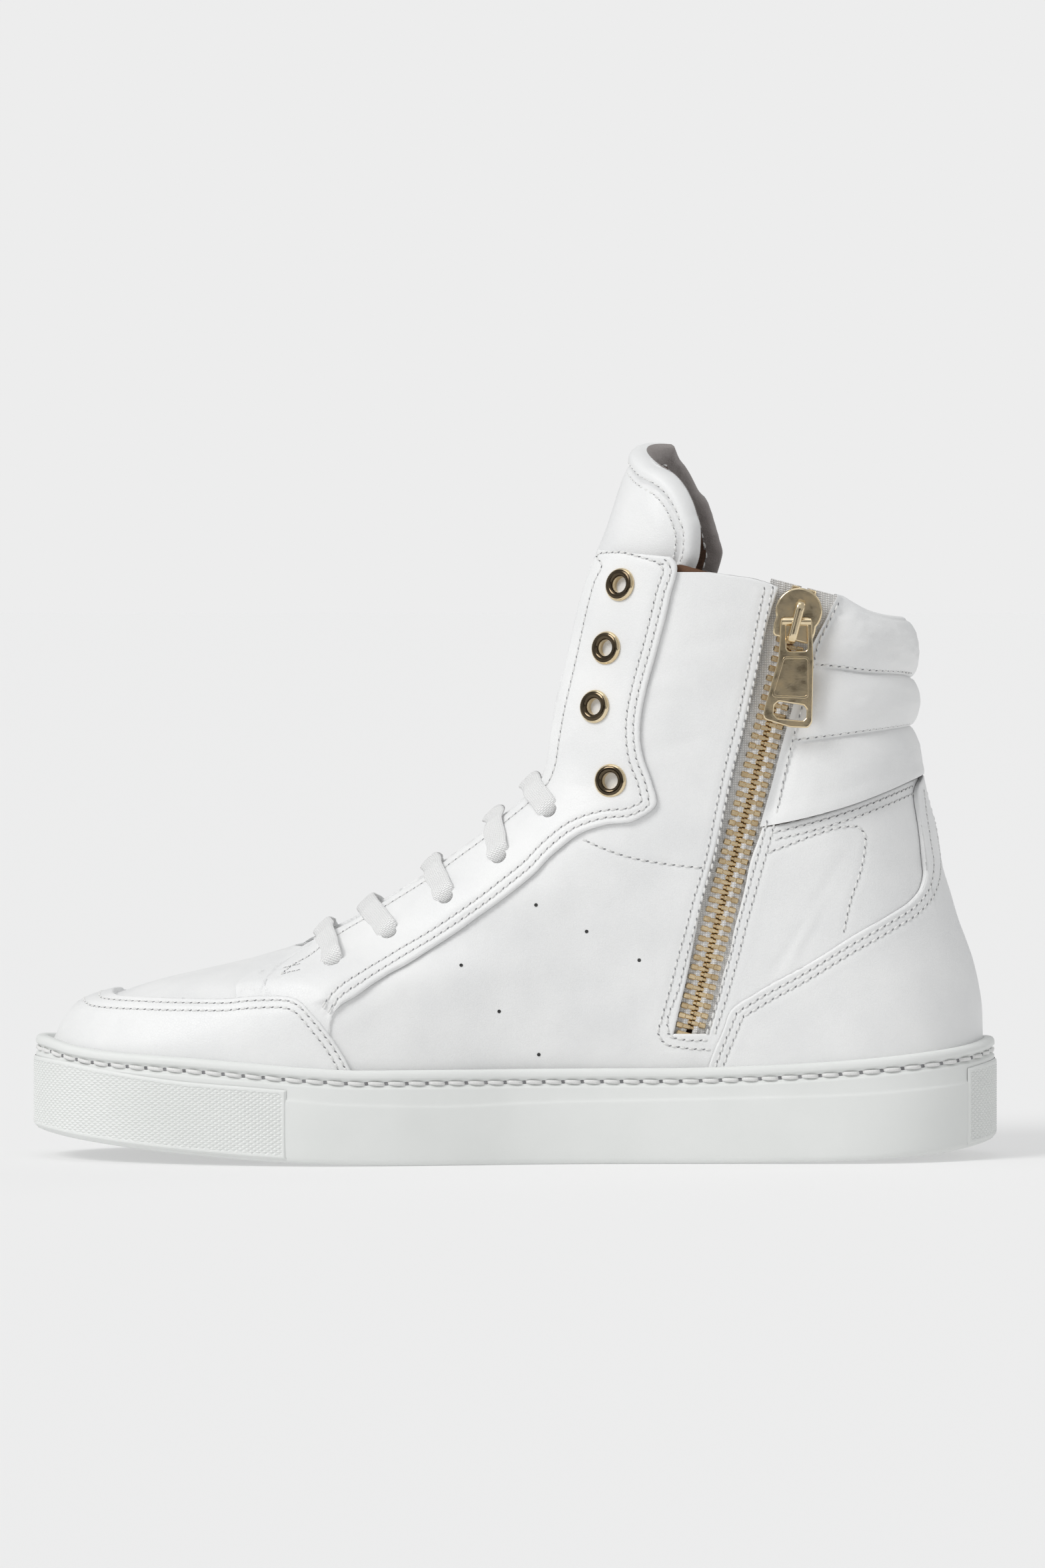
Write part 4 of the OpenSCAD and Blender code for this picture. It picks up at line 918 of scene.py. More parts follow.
base.add([[76.4, 95], [82.4, 97.2], [93.7, 101.4], [100.6, 103.0], [104.8, 102.8], [106.8, 100.4],
    [106.8, 97], [105.4, 89.4], [102.4, 80.7], [100.2, 71]], NEAR, 0.05)
zf = [[43.4, 39.5], [44.4, 44.2], [47, 53.5], [49.6, 63.8], [52.2, 73.1], [54.3, 81.4], [57.4, 91.5],
    [61.3, 110], [64.5, 124.5], [68.0, 138.2], [71.0, 152.2], [73.4, 165], [75.7, 176]]
zr = [[60.4, 39], [62.5, 45.2], [65.1, 53.5], [67.7, 62.8], [70.3, 73.1], [72.3, 80.4], [74.9, 89.7],
    [76.4, 95], [79, 104.6]]
zr2 = [[81.8, 118], [84.6, 130.2], [88.0, 142], [90.4, 150.2]]
base.add([[59.9, 34.7], [50.6, 35.4], [45.2, 36.8], [43.4, 39.5]] + zf[1:], NEAR, 0.05)
base.add([[59, 37.6], [50, 38.0], [46.9, 39.0], [46.2, 41.6]] + [[x + 2.6, z + 0.2] for x, z in zf[2:]],
    NEAR, 0.05)
base.add(zr, NEAR, 0.05)
base.add([[x - 2.4, z] for x, z in zr], NEAR, 0.05)
base.add([[79.4, 106.5]] + zr2 + [[92, 157.9], [95.5, 165.7], [98.3, 171.2]], NEAR, 0.10)
for d in (1.3, 3.3):
    legs = [az(*offset_line(MUD[:14], -d)[6:].T, s) for s in (NEAR, FAR)]
    toe = np.array([[-14, 49.6], [-9, 50.2], [-4, 50.6], [4, 50.7], [9, 50.5], [14, 50.0]]) - [0, d]
    over.add(np.vstack([legs[0][::-8], toe, legs[1][::8]]), NEAR, 1.85, raw=True)
G_OVER, G_BASE = over.all_lines(), base.all_lines()

# vents: small punched holes, each a disc of painted shade, standing for the dark hole, in a slight dimple
VENTS = [[-17, 60.8], [-5.4, 46.7], [6.7, 33.4], [5.9, 79.1], [21.4, 71], [37.5, 62.2]]
def vent_extra(s):
    """Dimples of the vents on one side."""
    pts = [surf(ang(x, z, s), z) for x, z in VENTS]
    def f(a, z, P):
        r = 0
        for p in pts:
            d = np.linalg.norm(P - p, axis=-1)
            r = r - 0.1 * np.exp(-(d / 0.62) ** 2)
        return r
    return f

VENT_R, VENT_N = 0.56, 14
vent_V = []
for s in (NEAR, FAR):
    for x, z in VENTS:
        p, nn = spot(x, z, s, 0.05)
        vent_V.append(circle(p, *across(nn), VENT_R, VENT_R, VENT_N))
vent_F = [[VENT_N * i + k for k in range(VENT_N)] for i in range(len(vent_V))]
mesh_obj("vent_painted_shade_discs", np.vstack(vent_V), vent_F, VENT_SHADE)

# ---------------------------------------------------------------- leather panels
mud_side = lambda s: [az(x, z, s) for x, z in MUD]
mud_top = [*mud_side(NEAR)[::-1], np.array([-12, 49.9]), np.array([-6, 50.5]), np.array([0, 50.7]),
    np.array([6, 50.7]), np.array([12, 50.4]), *mud_side(FAR)]
mud_top = np.array(mud_top)
n = len(mud_top)
u = np.abs(np.arange(n) / (n - 1) * 2 - 1)
x = mix(-143.4, -46, u ** 1.5)
z = start_z(x) + 2
mud_low = np.stack([np.where(np.arange(n) < n / 2, -1, 1) * np.abs(ang(x, z, 1)), z], 1)
mud_low[n // 2, 0] = 0
ob = panel("mudguard_visual", mud_low, mud_top, WHITE, top=1.85, thick=1.9, step=1.0, cut=(0, 1, 0, 0),
    grooves=G_OVER)
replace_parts(ob, "mudguard")

def shell_row(x1, z1, t):
    """Row across the toe, from the sole (t = 0) to the throat (t = 1)."""
    za, zf = mix(start_z(x1), z1, t), mix(start_z(-140), z1, t ** 0.62)
    j = np.linspace(-1, 1, 25)
    z = mix(zf, za, np.abs(j) ** 1.2)
    return np.stack([np.abs(ang(x1, za, 1)) * j, z], 1)
R = [shell_row(-59, 65.5, k) for k in np.linspace(0.30, 1, 9)]
ob = panel("vamp_visual", R[0], R[-1], WHITE, top=0.0, step=1.0, cut=(0, 1, 0, 0), mids=R[1:-1],
    grooves=G_OVER)
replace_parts(ob, "vamp", "toe_puff")

EDGE_MUD = {s: along(surf(*az(*offset_line(MUD[3:14], -1.0).T, s).T), 1.0)[0] for s in (NEAR, FAR)}
def tuck(a, z, P):
    """The eyestay's front end passes under the mudguard's edge."""
    flat = P.reshape(-1, 3)
    d = near_d(flat, np.vstack([EDGE_MUD[NEAR], EDGE_MUD[FAR]])).reshape(z.shape)
    inside = ease((-54 - (P[..., 0] - CX)) / 4) * ease((50.5 - z) / 2)
    return -0.95 * np.maximum(inside, 1 - ease((d - 1.5) / 6))

# Near quarter: one grid, with the zip's opening left out
zr_rows = np.r_[np.linspace(19, 37, 15), 38.2, 38.9, 39.25, 39.45, 39.6, 39.75, 39.95, 40.3, 41,
    np.linspace(42, 181, 150)]
slot_z = 39.6
def near_quarter():
    """Zip-side quarter in front of the zip; its strip below the zip reaches back."""
    L = OPEN_L(zr_rows)
    x0 = np.where(zr_rows < 57, -58, np.maximum(-58, throat_x(zr_rows) + 0.8))
    behind = EDGE_X(zr_rows)
    Lc = np.where(zr_rows < 36, OPEN_L(36.0), L)
    e = EDGE[::-1]
    cols = []
    for i, z in enumerate(zr_rows):
        end = min(Lc[i], behind[i])
        a = np.r_[np.linspace(x0[i], end - 2.1, 96)[:-1], end - e]
        b = np.r_[end + e[::-1][1:], np.linspace(end + 2.1, max(end + 4, 66), 14)[1:]]
        cols.append(np.r_[a, b])
    X = np.array(cols)
    G = az(X, zr_rows[:, None] + 0 * X, NEAR)
    nA = 95 + 8
    def keep(G):
        z = (G[:-1, :-1, 1] + G[1:, :-1, 1]) / 2
        k = np.ones(z.shape, bool)
        k[:, nA - 1:] = z[:, nA - 1:] < slot_z
        return k
    side = surf(G[zr_rows > slot_z - 0.3][:, nA - 1, 0], zr_rows[zr_rows > slot_z - 0.3])
    xs = np.linspace(OPEN_L(slot_z), 66, 60)
    low = surf(ang(xs, slot_z + 0 * xs, NEAR), slot_z)
    lines = [along(side, 0.3)[0], along(low, 0.3)[0]]
    return skin("quarter_inner_front_visual", G, WHITE, 0.0, 1.2, lines, keep=keep, grooves=G_BASE,
        extra=vent_extra(NEAR), holes=wider(NEAR))
ob = near_quarter()
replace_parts(ob, "quarter_inner_front")
zs = np.r_[np.linspace(18, 37, 6), np.linspace(40, 176, 30), 179, 181, 184]
A = az(np.where(zs < 57, -58, np.maximum(-58, throat_x(zs) + 0.8)), zs, FAR)
B = az(np.minimum(np.where(zs < 39.2, np.interp(zs, [20, 26], [60.5, 59.0]), OPEN_R(zs)) - 0.12,
    EDGE_X(zs)), zs, FAR)
ob = panel("quarter_outer_front_visual", A, B, WHITE, top=0, step=1.1, cut=(0, 0, 0, 1), grooves=G_BASE,
    extra=vent_extra(FAR), holes=wider(FAR))
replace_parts(ob, "quarter_outer_front")
for s, name in ((NEAR, "inner"), (FAR, "outer")):
    xs = np.r_[75.2, np.linspace(78, 118, 12), 121]
    top_az = az(xs, PAD(xs), s)
    low_x = np.linspace(60.5, 134, 14)
    low_az = az(low_x, 20 + 0 * low_x, s)
    e = np.linspace(0, 1, 5)[1:]
    top_az = np.vstack([top_az, np.stack([mix(top_az[-1, 0], s * 179.9, e), PAD(mix(121, 127, e))], 1)])
    low_az = np.vstack([low_az, np.stack([mix(low_az[-1, 0], s * 179.9, e), 20 + 0 * e], 1)])
    mids = []
    for f in (0.06, 0.12, 0.17, 0.21, 0.24, 0.27, 0.32, 0.4, 0.5, 0.6, 0.7, 0.8, 0.9):
        q = mix(low_az, top_az, f)
        q[0] = az(OPEN_R(q[0, 1]) if q[0, 1] > 39.2 else 59.0, q[0, 1], s)
        shift = q[0, 0] - mix(low_az, top_az, f)[0, 0]
        k = np.linspace(1, 0, len(q)) ** 2
        q[1:, 0] += shift * k[1:]
        mids.append(q)
    ob = panel("quarter_%s_rear_visual" % name, low_az, top_az, WHITE, top=0.02, step=1.0, cut=(0, 1, s < 0,
        0), mids=mids, grooves=G_BASE)
    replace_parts(ob, "quarter_%s_rear" % name)
    a_pts = np.array([az(x, z, s) for x, z in STAY_A] + [az(throat_x(z), z, s) for z in STAY_Z])
    b_pts = np.array([az(x, z, s) for x, z in STAY_B])
    ob = panel("eyestay_%s_visual" % name, a_pts, b_pts, WHITE, top=ON_TOP, thick=1.5, step=0.75,
        cut=(1, 1, 1, 1), grooves=G_OVER, holes=holes_of(s), extra=tuck)
    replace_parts(ob, "eyestay_%s" % name)

hn = [az(x, z, NEAR) for x, z in HEEL]
low_x = [58.4, 58.6, 60, 63, 68, 74, 81, 88, 98, 107, 114, 120, 125, 129, 132, 135]
ln = [az(x, 20, NEAR) for x in low_x]
e = np.array([0.2, 0.4, 0.6, 0.8])
hn = np.array(hn)
ln = np.array(ln)
hn = np.vstack([hn, np.stack([mix(hn[-1, 0], -180, e), mix(113, 118.2, np.sqrt(e))], 1)])
ln = np.vstack([ln, np.stack([mix(ln[-1, 0], -180, e), 20 + 0 * e], 1)])
T = np.vstack([hn, [[-180, 118.2]], np.stack([-360 - hn[::-1, 0], hn[::-1, 1]], 1)])
Bt = np.vstack([ln, [[-180, 20]], np.stack([-360 - ln[::-1, 0], ln[::-1, 1]], 1)])
ob = panel("heel_counter_cover_visual", T, Bt, WHITE, top=ON_TOP + 0.1, thick=1.6, step=1.0,
    cut=(1, 0, 1, 1), grooves=G_OVER)
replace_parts(ob, "heel_counter_cover")
over.build("overlay_seam", THREAD, NEEDLE_SHADE)
base.build("main_seam", THREAD, NEEDLE_SHADE)

# ---------------------------------------------------------------- padded collar
def collar():
    """Three padded rolls round the heel, turned over the rim, with their front edges closed."""
    m, per = 170, 26                    # steps round the heel, steps up each roll
    t = np.linspace(-1, 1, m + 1)
    v = np.linspace(0, 3, 3 * per + 1)
    V = v[:, None] + 0 * t[None]
    k = np.minimum(2, np.floor(V)).astype(int)
    f = V - k
    zref = mix(np.array([103, 128, 151])[k], np.array([128, 151, 176])[k], f)
    a1 = np.abs(ang(OPEN_R(zref), zref, 1))
    a = a1 + (180 - a1) * (1 - np.abs(t[None]))
    lev = []
    for q, fn in enumerate((PAD, SEAM2, SEAM1, TOP)):
        lev.append(fn(surf(a, np.array([110, 132, 150, 168])[q])[..., 0] - CX))
    lev = np.array(lev)
    z = mix(np.take_along_axis(lev, k[None], 0)[0], np.take_along_axis(lev, k[None] + 1, 0)[0], f)
    turned = np.where(t[None] < 0, -a, -(360 - a))
    P, N = surf(turned, z), normal(turned, z)
    gap = P[..., 0] - CX - OPEN_R(zref)    # distance behind the opening
    away, inward = ease(gap / 7), ease(gap / 14)
    puff = np.sin(np.pi * np.clip(f, 0, 1)) ** 0.55
    h = 3.3 * puff * mix(0.35, 1, inward) * away - 1.1 * ease(gap / 2.5)
    # the lowest roll starts behind the quarter's edge, the top one turns over the rim
    low = 3.1 * np.sin(np.pi * np.clip(f * 0.80 + 0.20, 0, 1)) ** 0.6 * mix(0.35, 1, inward) * away
    low = low - 1.1 * ease(gap / 2.5) * ease(f / 0.3) - 0.4 * (1 - ease(f / 0.3))
    h = np.where(k == 0, low, h)
    wrink = 0.30 * noise3(P / np.array([5.0, 9.0, 2.6]), 5) + 0.16 * noise3(P / np.array([2.4, 4.0, 1.5]),
        6)
    zone = ease((P[..., 0] - 92) / 14) * ease((f - 0.05) / 0.3) * ease((1 - f) / 0.2)
    h = h + wrink * zone * (0.45 + 0.65 * (k == 2)) + 0.5 * billow(P)
    O = P + N * h[..., None]
    # turn over the rim and down inside
    tip, tn = O[-1], N[-1]
    up = np.array([0, 0, 1.0])
    T_ = 2.6 + 5.0 * away[-1][:, None]
    turn = []
    for b in np.linspace(0, 1, 13)[1:]:
        th = b * math.pi
        turn.append(tip - tn * T_ * (1 - math.cos(th)) / 2 + up * (np.minimum(T_, 4.6) / 2 * 0.72)
            * math.sin(th))
    O = np.concatenate([O, np.array(turn)])
    nr, nc = O.shape[:2]
    F = quads(nr, nc)
    m0 = F[len(F) // 2]
    V3 = O.reshape(-1, 3)
    if np.dot(np.cross(V3[m0[1]] - V3[m0[0]], V3[m0[3]] - V3[m0[0]]),
        N.reshape(-1, 3)[min(m0[0], N.size // 3 - 1)]) < 0:
        F = F[:, ::-1]
    ob = mesh_obj("collar_cover_visual", V3, F, WHITE)
    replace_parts(ob, "collar_cover", "collar_foam", "heel_stiffener")
    # front edges: a strip that closes the collar's thickness along the opening, both sides
    for side, j in ((NEAR, 0), (FAR, -1)):
        E = O[:, j]
        n_in = N[:, j]
        n_in = np.vstack([n_in, np.repeat(n_in[-1:], nr - len(n_in), 0)])
        W = np.stack([E, E - n_in * 1.3], 1)
        idx = np.arange(2 * nr).reshape(nr, 2)
        Fq = np.stack([idx[:-1, 0], idx[1:, 0], idx[1:, 1], idx[:-1, 1]], -1)
        if side > 0:
            Fq = Fq[:, ::-1]
        mesh_obj("collar_front_edge_%s" % ("inner" if side < 0 else "outer"), W.reshape(-1, 3), Fq, WHITE)
collar()
roll_seams = Seams()
def roll_height(a, z, P):
    """Height of the collar in the seam between two rolls."""
    q = P[..., 0] - CX - OPEN_R(z)
    return 1.25 * mix(0.35, 1, ease(q / 14)) * ease(q / 7) - 1.05 * ease(q / 2.5)
for s in (NEAR, FAR):
    for fn, x0 in ((SEAM2, 84.0), (SEAM1, 91.0)):
        roll_seams.add([[x, float(fn(x)) + 0.95] for x in np.linspace(x0, 121.5, 10)], s, 0.06,
            extra=roll_height)
roll_seams.build("roll_seam", THREAD, NEEDLE_SHADE)

# ---------------------------------------------------------------- linings and footbed
def depth(x, z):
    """Depth of the lining under the outer face."""
    pad = 6 * ease((x - OPEN_R(z)) / 16) * ease((z - 98) / 14)
    return 1.7 + 1.9 * ease((x - 78) / 12) * (1 - ease((z - 90) / 10)) + pad

def lining_extra(a, z, P):
    """Lining face, slightly uneven."""
    return -depth(P[..., 0] - CX, z) + 0.12 * noise3(P / 6.0, 9)

def rear_lining():
    """Lining round the heel."""
    t = np.linspace(-1, 1, 121)[None]
    v = np.linspace(0, 1, 90)[:, None]
    zref = mix(20, 176, v) + 0 * t
    edge = np.where(t < 0, np.maximum(OPEN_R(zref) + 4.5, 0), OPEN_R(zref) - 4)
    a1 = np.abs(ang(edge, zref, 1))
    a = a1 + (180 - a1) * (1 - np.abs(t))
    ztop = TOP(surf(a, 172 + 0 * a)[..., 0] - CX) - 2.0
    G = np.stack([np.where(t < 0, -a, a - 360), mix(20, ztop, v)], -1)
    return skin("rear_lining_visual", G, BROWN, 0, 0.8, extra=lining_extra, billows=False,
        slot="lining_leather")
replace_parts(rear_lining(), "lining_inner_rear", "lining_outer_rear")
for s, name in ((NEAR, "inner"), (FAR, "outer")):
    zs = np.r_[np.linspace(20, 176, 70), 179, 181, 183.4]
    x0 = np.where(zs < 57, -57, np.maximum(-57, throat_x(zs) + 1.6))
    x1 = np.minimum(OPEN_L(zs) - 5 if s < 0 else OPEN_R(zs) - 2, EDGE_X(zs) - 0.4)
    G = np.stack([az(mix(x0, x1, q), zs, s) for q in np.linspace(0, 1, 70)], 1)
    ob = skin("front_lining_%s_visual" % name, G, BROWN, 0, 0.8, extra=lining_extra, billows=False,
        slot="lining_leather",
        holes=holes_of(s))
    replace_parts(ob, "lining_%s_front" % name)
R = [shell_row(-58, 60, k) for k in np.linspace(0.05, 1, 12)]
ob = panel("vamp_lining_visual", R[0], R[-1], BROWN, top=-2.9, thick=0.8, step=2.0, cut=(0, 0, 0, 0),
    mids=R[1:-1], billows=False, slot="lining_leather")
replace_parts(ob, "vamp_lining")

def inner_floor(name, d, h, mat, swell):
    """Footbed face, raised at its edge and pressed down under the heel."""
    C = OUT[::4] - OUTN[::4] * d
    sp = np.stack([np.clip(C[:, 0], -112, 106), np.interp(C[:, 0], [-150, -100, -40, 20, 70, 150],
        [-5, -1, 1.5, 2.5, -1, -2.5])], 1)
    V = []
    for f in np.r_[0, 0.01, 0.03, np.linspace(0.06, 1, 34)]:
        xy = C * (1 - f) + sp * f
        r = np.linalg.norm(xy - C, axis=1)
        z = sole_z(xy[:, 0] - CX) + h - 1.2 * (1 - ease(r / 1.2)) + swell * (1 - ease(r / 16))
        z = z - 1.0 * np.exp(-((xy[:, 0] - 96) ** 2 + xy[:, 1] ** 2) / 500.0) + 0.06 * noise3(np.c_[xy,
            0 * z] / 3.0, 3)
        V.append(np.c_[xy, z])
    n = len(C)
    idx = np.arange(n * len(V)).reshape(len(V), n)
    F = np.stack([idx[:-1], idx[1:], np.roll(idx[1:], -1, 1), np.roll(idx[:-1], -1, 1)], -1).reshape(-1,
        4)[:, ::-1]
    return mesh_obj(name, np.vstack(V), F, mat)
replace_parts(inner_floor("footbed_visual", 5.6, 19.5, INSOLE, 1.0), "footbed")

# ---------------------------------------------------------------- padded tongue
# half widths by height, on the zip side and on the far side
WING = pchip([[58, 12], [67, 12], [75, 14], [85, 17], [100, 21], [115, 25], [130, 28], [150, 31], [170, 33],
    [187, 33], [195, 31],
    [205, 26], [212, 20], [217, 14], [220.5, 8], [222, 4]])
FAR_WING = pchip([[58, 12], [67, 12], [75, 14], [85, 17], [100, 21], [115, 25], [130, 28], [150, 32],
    [165, 37.5], [178, 42.6], [184.6, 41.6],
    [189, 38], [193, 34.2], [200.5, 27], [207, 20], [213.5, 12.5], [217.5, 7], [222, 2.5]])
def tongue():
    """Padded tongue: cover, grey edge strip, suede lining and seams."""
    zt = np.r_[np.linspace(62, 214, 180), np.linspace(214, 221.6, 24)[1:]]
    u = np.sin(np.linspace(-1, 1, 121) * math.pi / 2)
    Z = zt[:, None] + 0 * u[None]
    U = u[None] + 0 * Z
    A = np.abs(ang(front(Z) + np.maximum(1.6, np.where(U > 0, FAR_WING(Z), WING(Z))), Z, 1)) * U
    zz = Z - np.where(Z > 200, 1.5 * U * U * ease((Z - 200) / 6), 0)
    P, N = surf(A, zz), normal(A, zz)
    dm = mix(5.2, 3.4, ease((Z - 150) / 40)) + 4.2 * U * U
    # the far wing stands higher than the near one
    tilt = U * 4.2 * ease((Z - 168) / 34)
    P = P + np.stack([0.5 * tilt, 0 * tilt, tilt * 0.95], -1)
    edge = np.vstack([P[:, 0], P[-1], P[::-1, -1]])
    e = near_d(P.reshape(-1, 3), along(edge, 0.2)[0]).reshape(Z.shape)
    e[:, 0] = e[:, -1] = e[-1] = 0
    full = 6.9 * mix(0.85, 1.0, ease((Z - 90) / 60))
    r = 3.6
    T = full * np.sqrt(np.clip(1 - (1 - np.clip(e / r, 0, 1)) ** 2, 0, 1))
    seam = 6.4
    roll = 0.9 * np.sin(np.pi * np.clip(e / seam, 0, 1)) ** 0.7 * ease((Z - 176) / 14)
    groove = -1.0 * np.exp(-((e - seam) / 0.85) ** 2) * ease((Z - 176) / 14)
    swell_ = 0.55 * ease((e - seam) / 7) * ease((Z - 100) / 40)
    lump = 0.25 * noise3(P / 16.0, 12) * ease(e / 6)
    O = P - N * (dm + full / 2 - T / 2 - roll - groove - swell_ - lump)[..., None]
    wr = 0.22 * noise3(P / np.array([3.4, 3.4, 2.2]), 15) * ease(e / 3) * ease((17 - e) / 4)
    I = P - N * (dm + full / 2 + T / 2 + 0.3 * roll + wr + 0.08 * noise3(P / 9.0, 17))[..., None]
    q = quads(*Z.shape)
    m0 = q[len(q) // 2]
    V = O.reshape(-1, 3)
    if np.dot(np.cross(V[m0[1]] - V[m0[0]], V[m0[3]] - V[m0[0]]), N.reshape(-1, 3)[m0[0]]) < 0:
        q = q[:, ::-1]
    cover = mesh_obj("tongue_cover_visual", V, q, WHITE, "tongue")
    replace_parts(cover, "tongue_cover", "tongue_foam")
    ec = e.reshape(-1)[q].mean(1)
    V = I.reshape(-1, 3)
    strip = mesh_obj("tongue_edge_strip_visual", V, q[ec < 7.6][:, ::-1], STRIP, "tongue")
    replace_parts(strip, "tongue_edge_strip")
    V2 = V - (N * (0.45 * ease((9.5 - e) / 2.5))[..., None]).reshape(-1, 3)
    sued = mesh_obj("tongue_lining_visual", V2, q[ec > 6.6][:, ::-1], SUEDE, "tongue")
    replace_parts(sued, "tongue_lining")
    # two rows of stitches beside the roll, and one inside the grey border
    st = Seams()
    def iso(S, dist, off_n, sgn=1, pitch=2.6):
        """Seam at a constant distance from the edge, on the face S."""
        left, right = [], []
        for i in range(len(zt)):
            if zt[i] < 178:
                continue
            row = e[i]
            mid_ = len(u) // 2
            for part, out in ((range(0, mid_), left), (range(len(u) - 1, mid_, -1), right)):
                part = list(part)
                ee = row[part]
                if ee.max() < dist:
                    continue
                k = int(np.argmax(ee >= dist))
                if k == 0:
                    continue
                f = (dist - ee[k - 1]) / (ee[k] - ee[k - 1])
                out.append(S[i, part[k - 1]] * (1 - f) + S[i, part[k]] * f)
        line = np.array(left + right[::-1])
        L, s_ = along(line, 0.25)
        ker = np.ones(9) / 9
        L = np.stack([np.convolve(np.r_[[L[0, k]] * 4, L[:, k], [L[-1, k]] * 4], ker, "valid")
            for k in range(3)], 1)
        fl = S.reshape(-1, 3)
        nn = N.reshape(-1, 3)
        kk = np.array([np.argmin(((fl - p) ** 2).sum(1)) for p in L[::6]])
        Nn = np.stack([np.interp(np.arange(len(L)), np.arange(0, len(L), 6), nn[kk, k]) for k in range(3)],
            1) * sgn
        Nn /= np.linalg.norm(Nn, axis=1, keepdims=True)
        X = L + Nn * off_n
        cnt = int(s_[-1] / pitch)
        for i in range(cnt):
            st._stitch(X, Nn, s_, (i + 0.5) * s_[-1] / cnt, pitch, 22, 1.0)
    iso(O, seam - 1.5, 0.05)
    iso(O, seam + 1.6, 0.05)
    iso(I, 6.3, 0.1, -1, 3.2)
    st.build("tongue_seam", THREAD, NEEDLE_SHADE, "tongue")
tongue()

# ---------------------------------------------------------------- metal parts: helpers
def frame_of(o, x, y, z):
    """Map from local coordinates to the frame, with origin o and axes x, y, z."""
    o, x, y, z = (np.asarray(v, float) for v in (o, x, y, z))
    return lambda P: o + np.asarray(P, float) @ np.array([x, y, z])

def chamfer_box(lo, hi, c):
    """Box with chamfered edges, faces outward."""
    lo, hi = np.array(lo, float), np.array(hi, float)
    V, key = [], {}
    for sx in (0, 1):
        for sy in (0, 1):
            for sz in (0, 1):
                s = np.array([sx, sy, sz])
                p = np.where(s, hi, lo)
                for k in range(3):
                    q = p + np.where(s, -c, c)
                    q[k] = p[k]
                    key[(sx, sy, sz, k)] = len(V)
                    V.append(q)
    F = []
    for k in range(3):
        i, j = [(1, 2), (0, 2), (0, 1)][k]
        for s in (0, 1):
            loop = []
            for a, b in ((0, 0), (1, 0), (1, 1), (0, 1)):
                t = [0, 0, 0]
                t[k] = s
                t[i] = a
                t[j] = b
                loop.append(key[(*t, k)])
            F.append(loop)
    for k in range(3):
        i, j = [(1, 2), (0, 2), (0, 1)][k]
        for a in (0, 1):
            for b in (0, 1):
                t0 = [0, 0, 0]
                t0[i] = a
                t0[j] = b
                t1 = list(t0)
                t1[k] = 1
                F.append([key[(*t0, i)], key[(*t1, i)], key[(*t1, j)], key[(*t0, j)]])
    for sx in (0, 1):
        for sy in (0, 1):
            for sz in (0, 1):
                F.append([key[(sx, sy, sz, k)] for k in range(3)])
    V = np.array(V)
    c0 = (lo + hi) / 2
    out = []
    for f in F:
        p = V[f]
        nrm = np.cross(p[1] - p[0], p[2] - p[0])
        out.append(f if np.dot(nrm, p.mean(0) - c0) > 0 else f[::-1])
    return V, out

class Pile:
    """Many small closed shapes gathered into one mesh."""
    def __init__(self):
        self.V, self.F, self.n = [], [], 0
    def add(self, V, F):
        self.V.append(np.asarray(V, float))
        self.F += [[i + self.n for i in f] for f in F]
        self.n += len(V)
    def build(self, name, mat, body, slot, deg=30):
        ob = mesh_obj(name, np.vstack(self.V), self.F, mat, body)
        sharp_by_angle(ob, deg)
        return ob

def round_poly(P, r, n=5):
    """Polygon with rounded corners."""
    P = np.asarray(P, float)
    out = []
    r = np.broadcast_to(r, len(P))
    for i in range(len(P)):
        a, b, c = P[i - 1], P[i], P[(i + 1) % len(P)]
        u, v = (a - b) / np.linalg.norm(a - b), (c - b) / np.linalg.norm(c - b)
        th = math.acos(np.clip(u @ v, -1, 1))
        d = min(r[i] / math.tan(th / 2), 0.45 * np.linalg.norm(a - b), 0.45 * np.linalg.norm(c - b))
        p, q = b + u * d, b + v * d
        for k in np.linspace(0, 1, n + 1):
            out.append((1 - k) ** 2 * p + 2 * k * (1 - k) * b + k * k * q)
    return np.array(out)

def plate(name, outlines, half, bevel, to, mat, body, res=3):
    """Flat plate with bevelled edges from 2-D outlines (the first is the outside); to maps its local points
    to the frame."""
    cu = bpy.data.curves.new(name + "_outline", "CURVE")
    cu.dimensions = "2D"
    cu.fill_mode = "BOTH"
    cu.extrude = half - bevel
    cu.bevel_depth = bevel
    cu.bevel_resolution = res
    cu.offset = -bevel
    for P in outlines:
        sp = cu.splines.new("POLY")
        sp.points.add(len(P) - 1)
        sp.points.foreach_set("co", np.c_[P, 0 * P[:, :1], np.ones(len(P))].ravel())
        sp.use_cyclic_u = True
    ob = bpy.data.objects.new(name + "_outline", cu)
    bpy.context.scene.collection.objects.link(ob)
    me = bpy.data.meshes.new_from_object(ob.evaluated_get(bpy.context.evaluated_depsgraph_get()))
    V = np.empty(len(me.vertices) * 3)
    me.vertices.foreach_get("co", V)
    V = V.reshape(-1, 3)
    F = [list(p.vertices) for p in me.polygons]
    bpy.data.objects.remove(ob)
    bpy.data.curves.remove(cu)
    bpy.data.meshes.remove(me)
    W = to(V)
    if np.linalg.det(to(np.eye(3)) - to(np.zeros((3, 3)))) < 0:
        F = [f[::-1] for f in F]
    out = mesh_obj(name, W, F, mat, body)
    sharp_by_angle(out, 34)
    return out

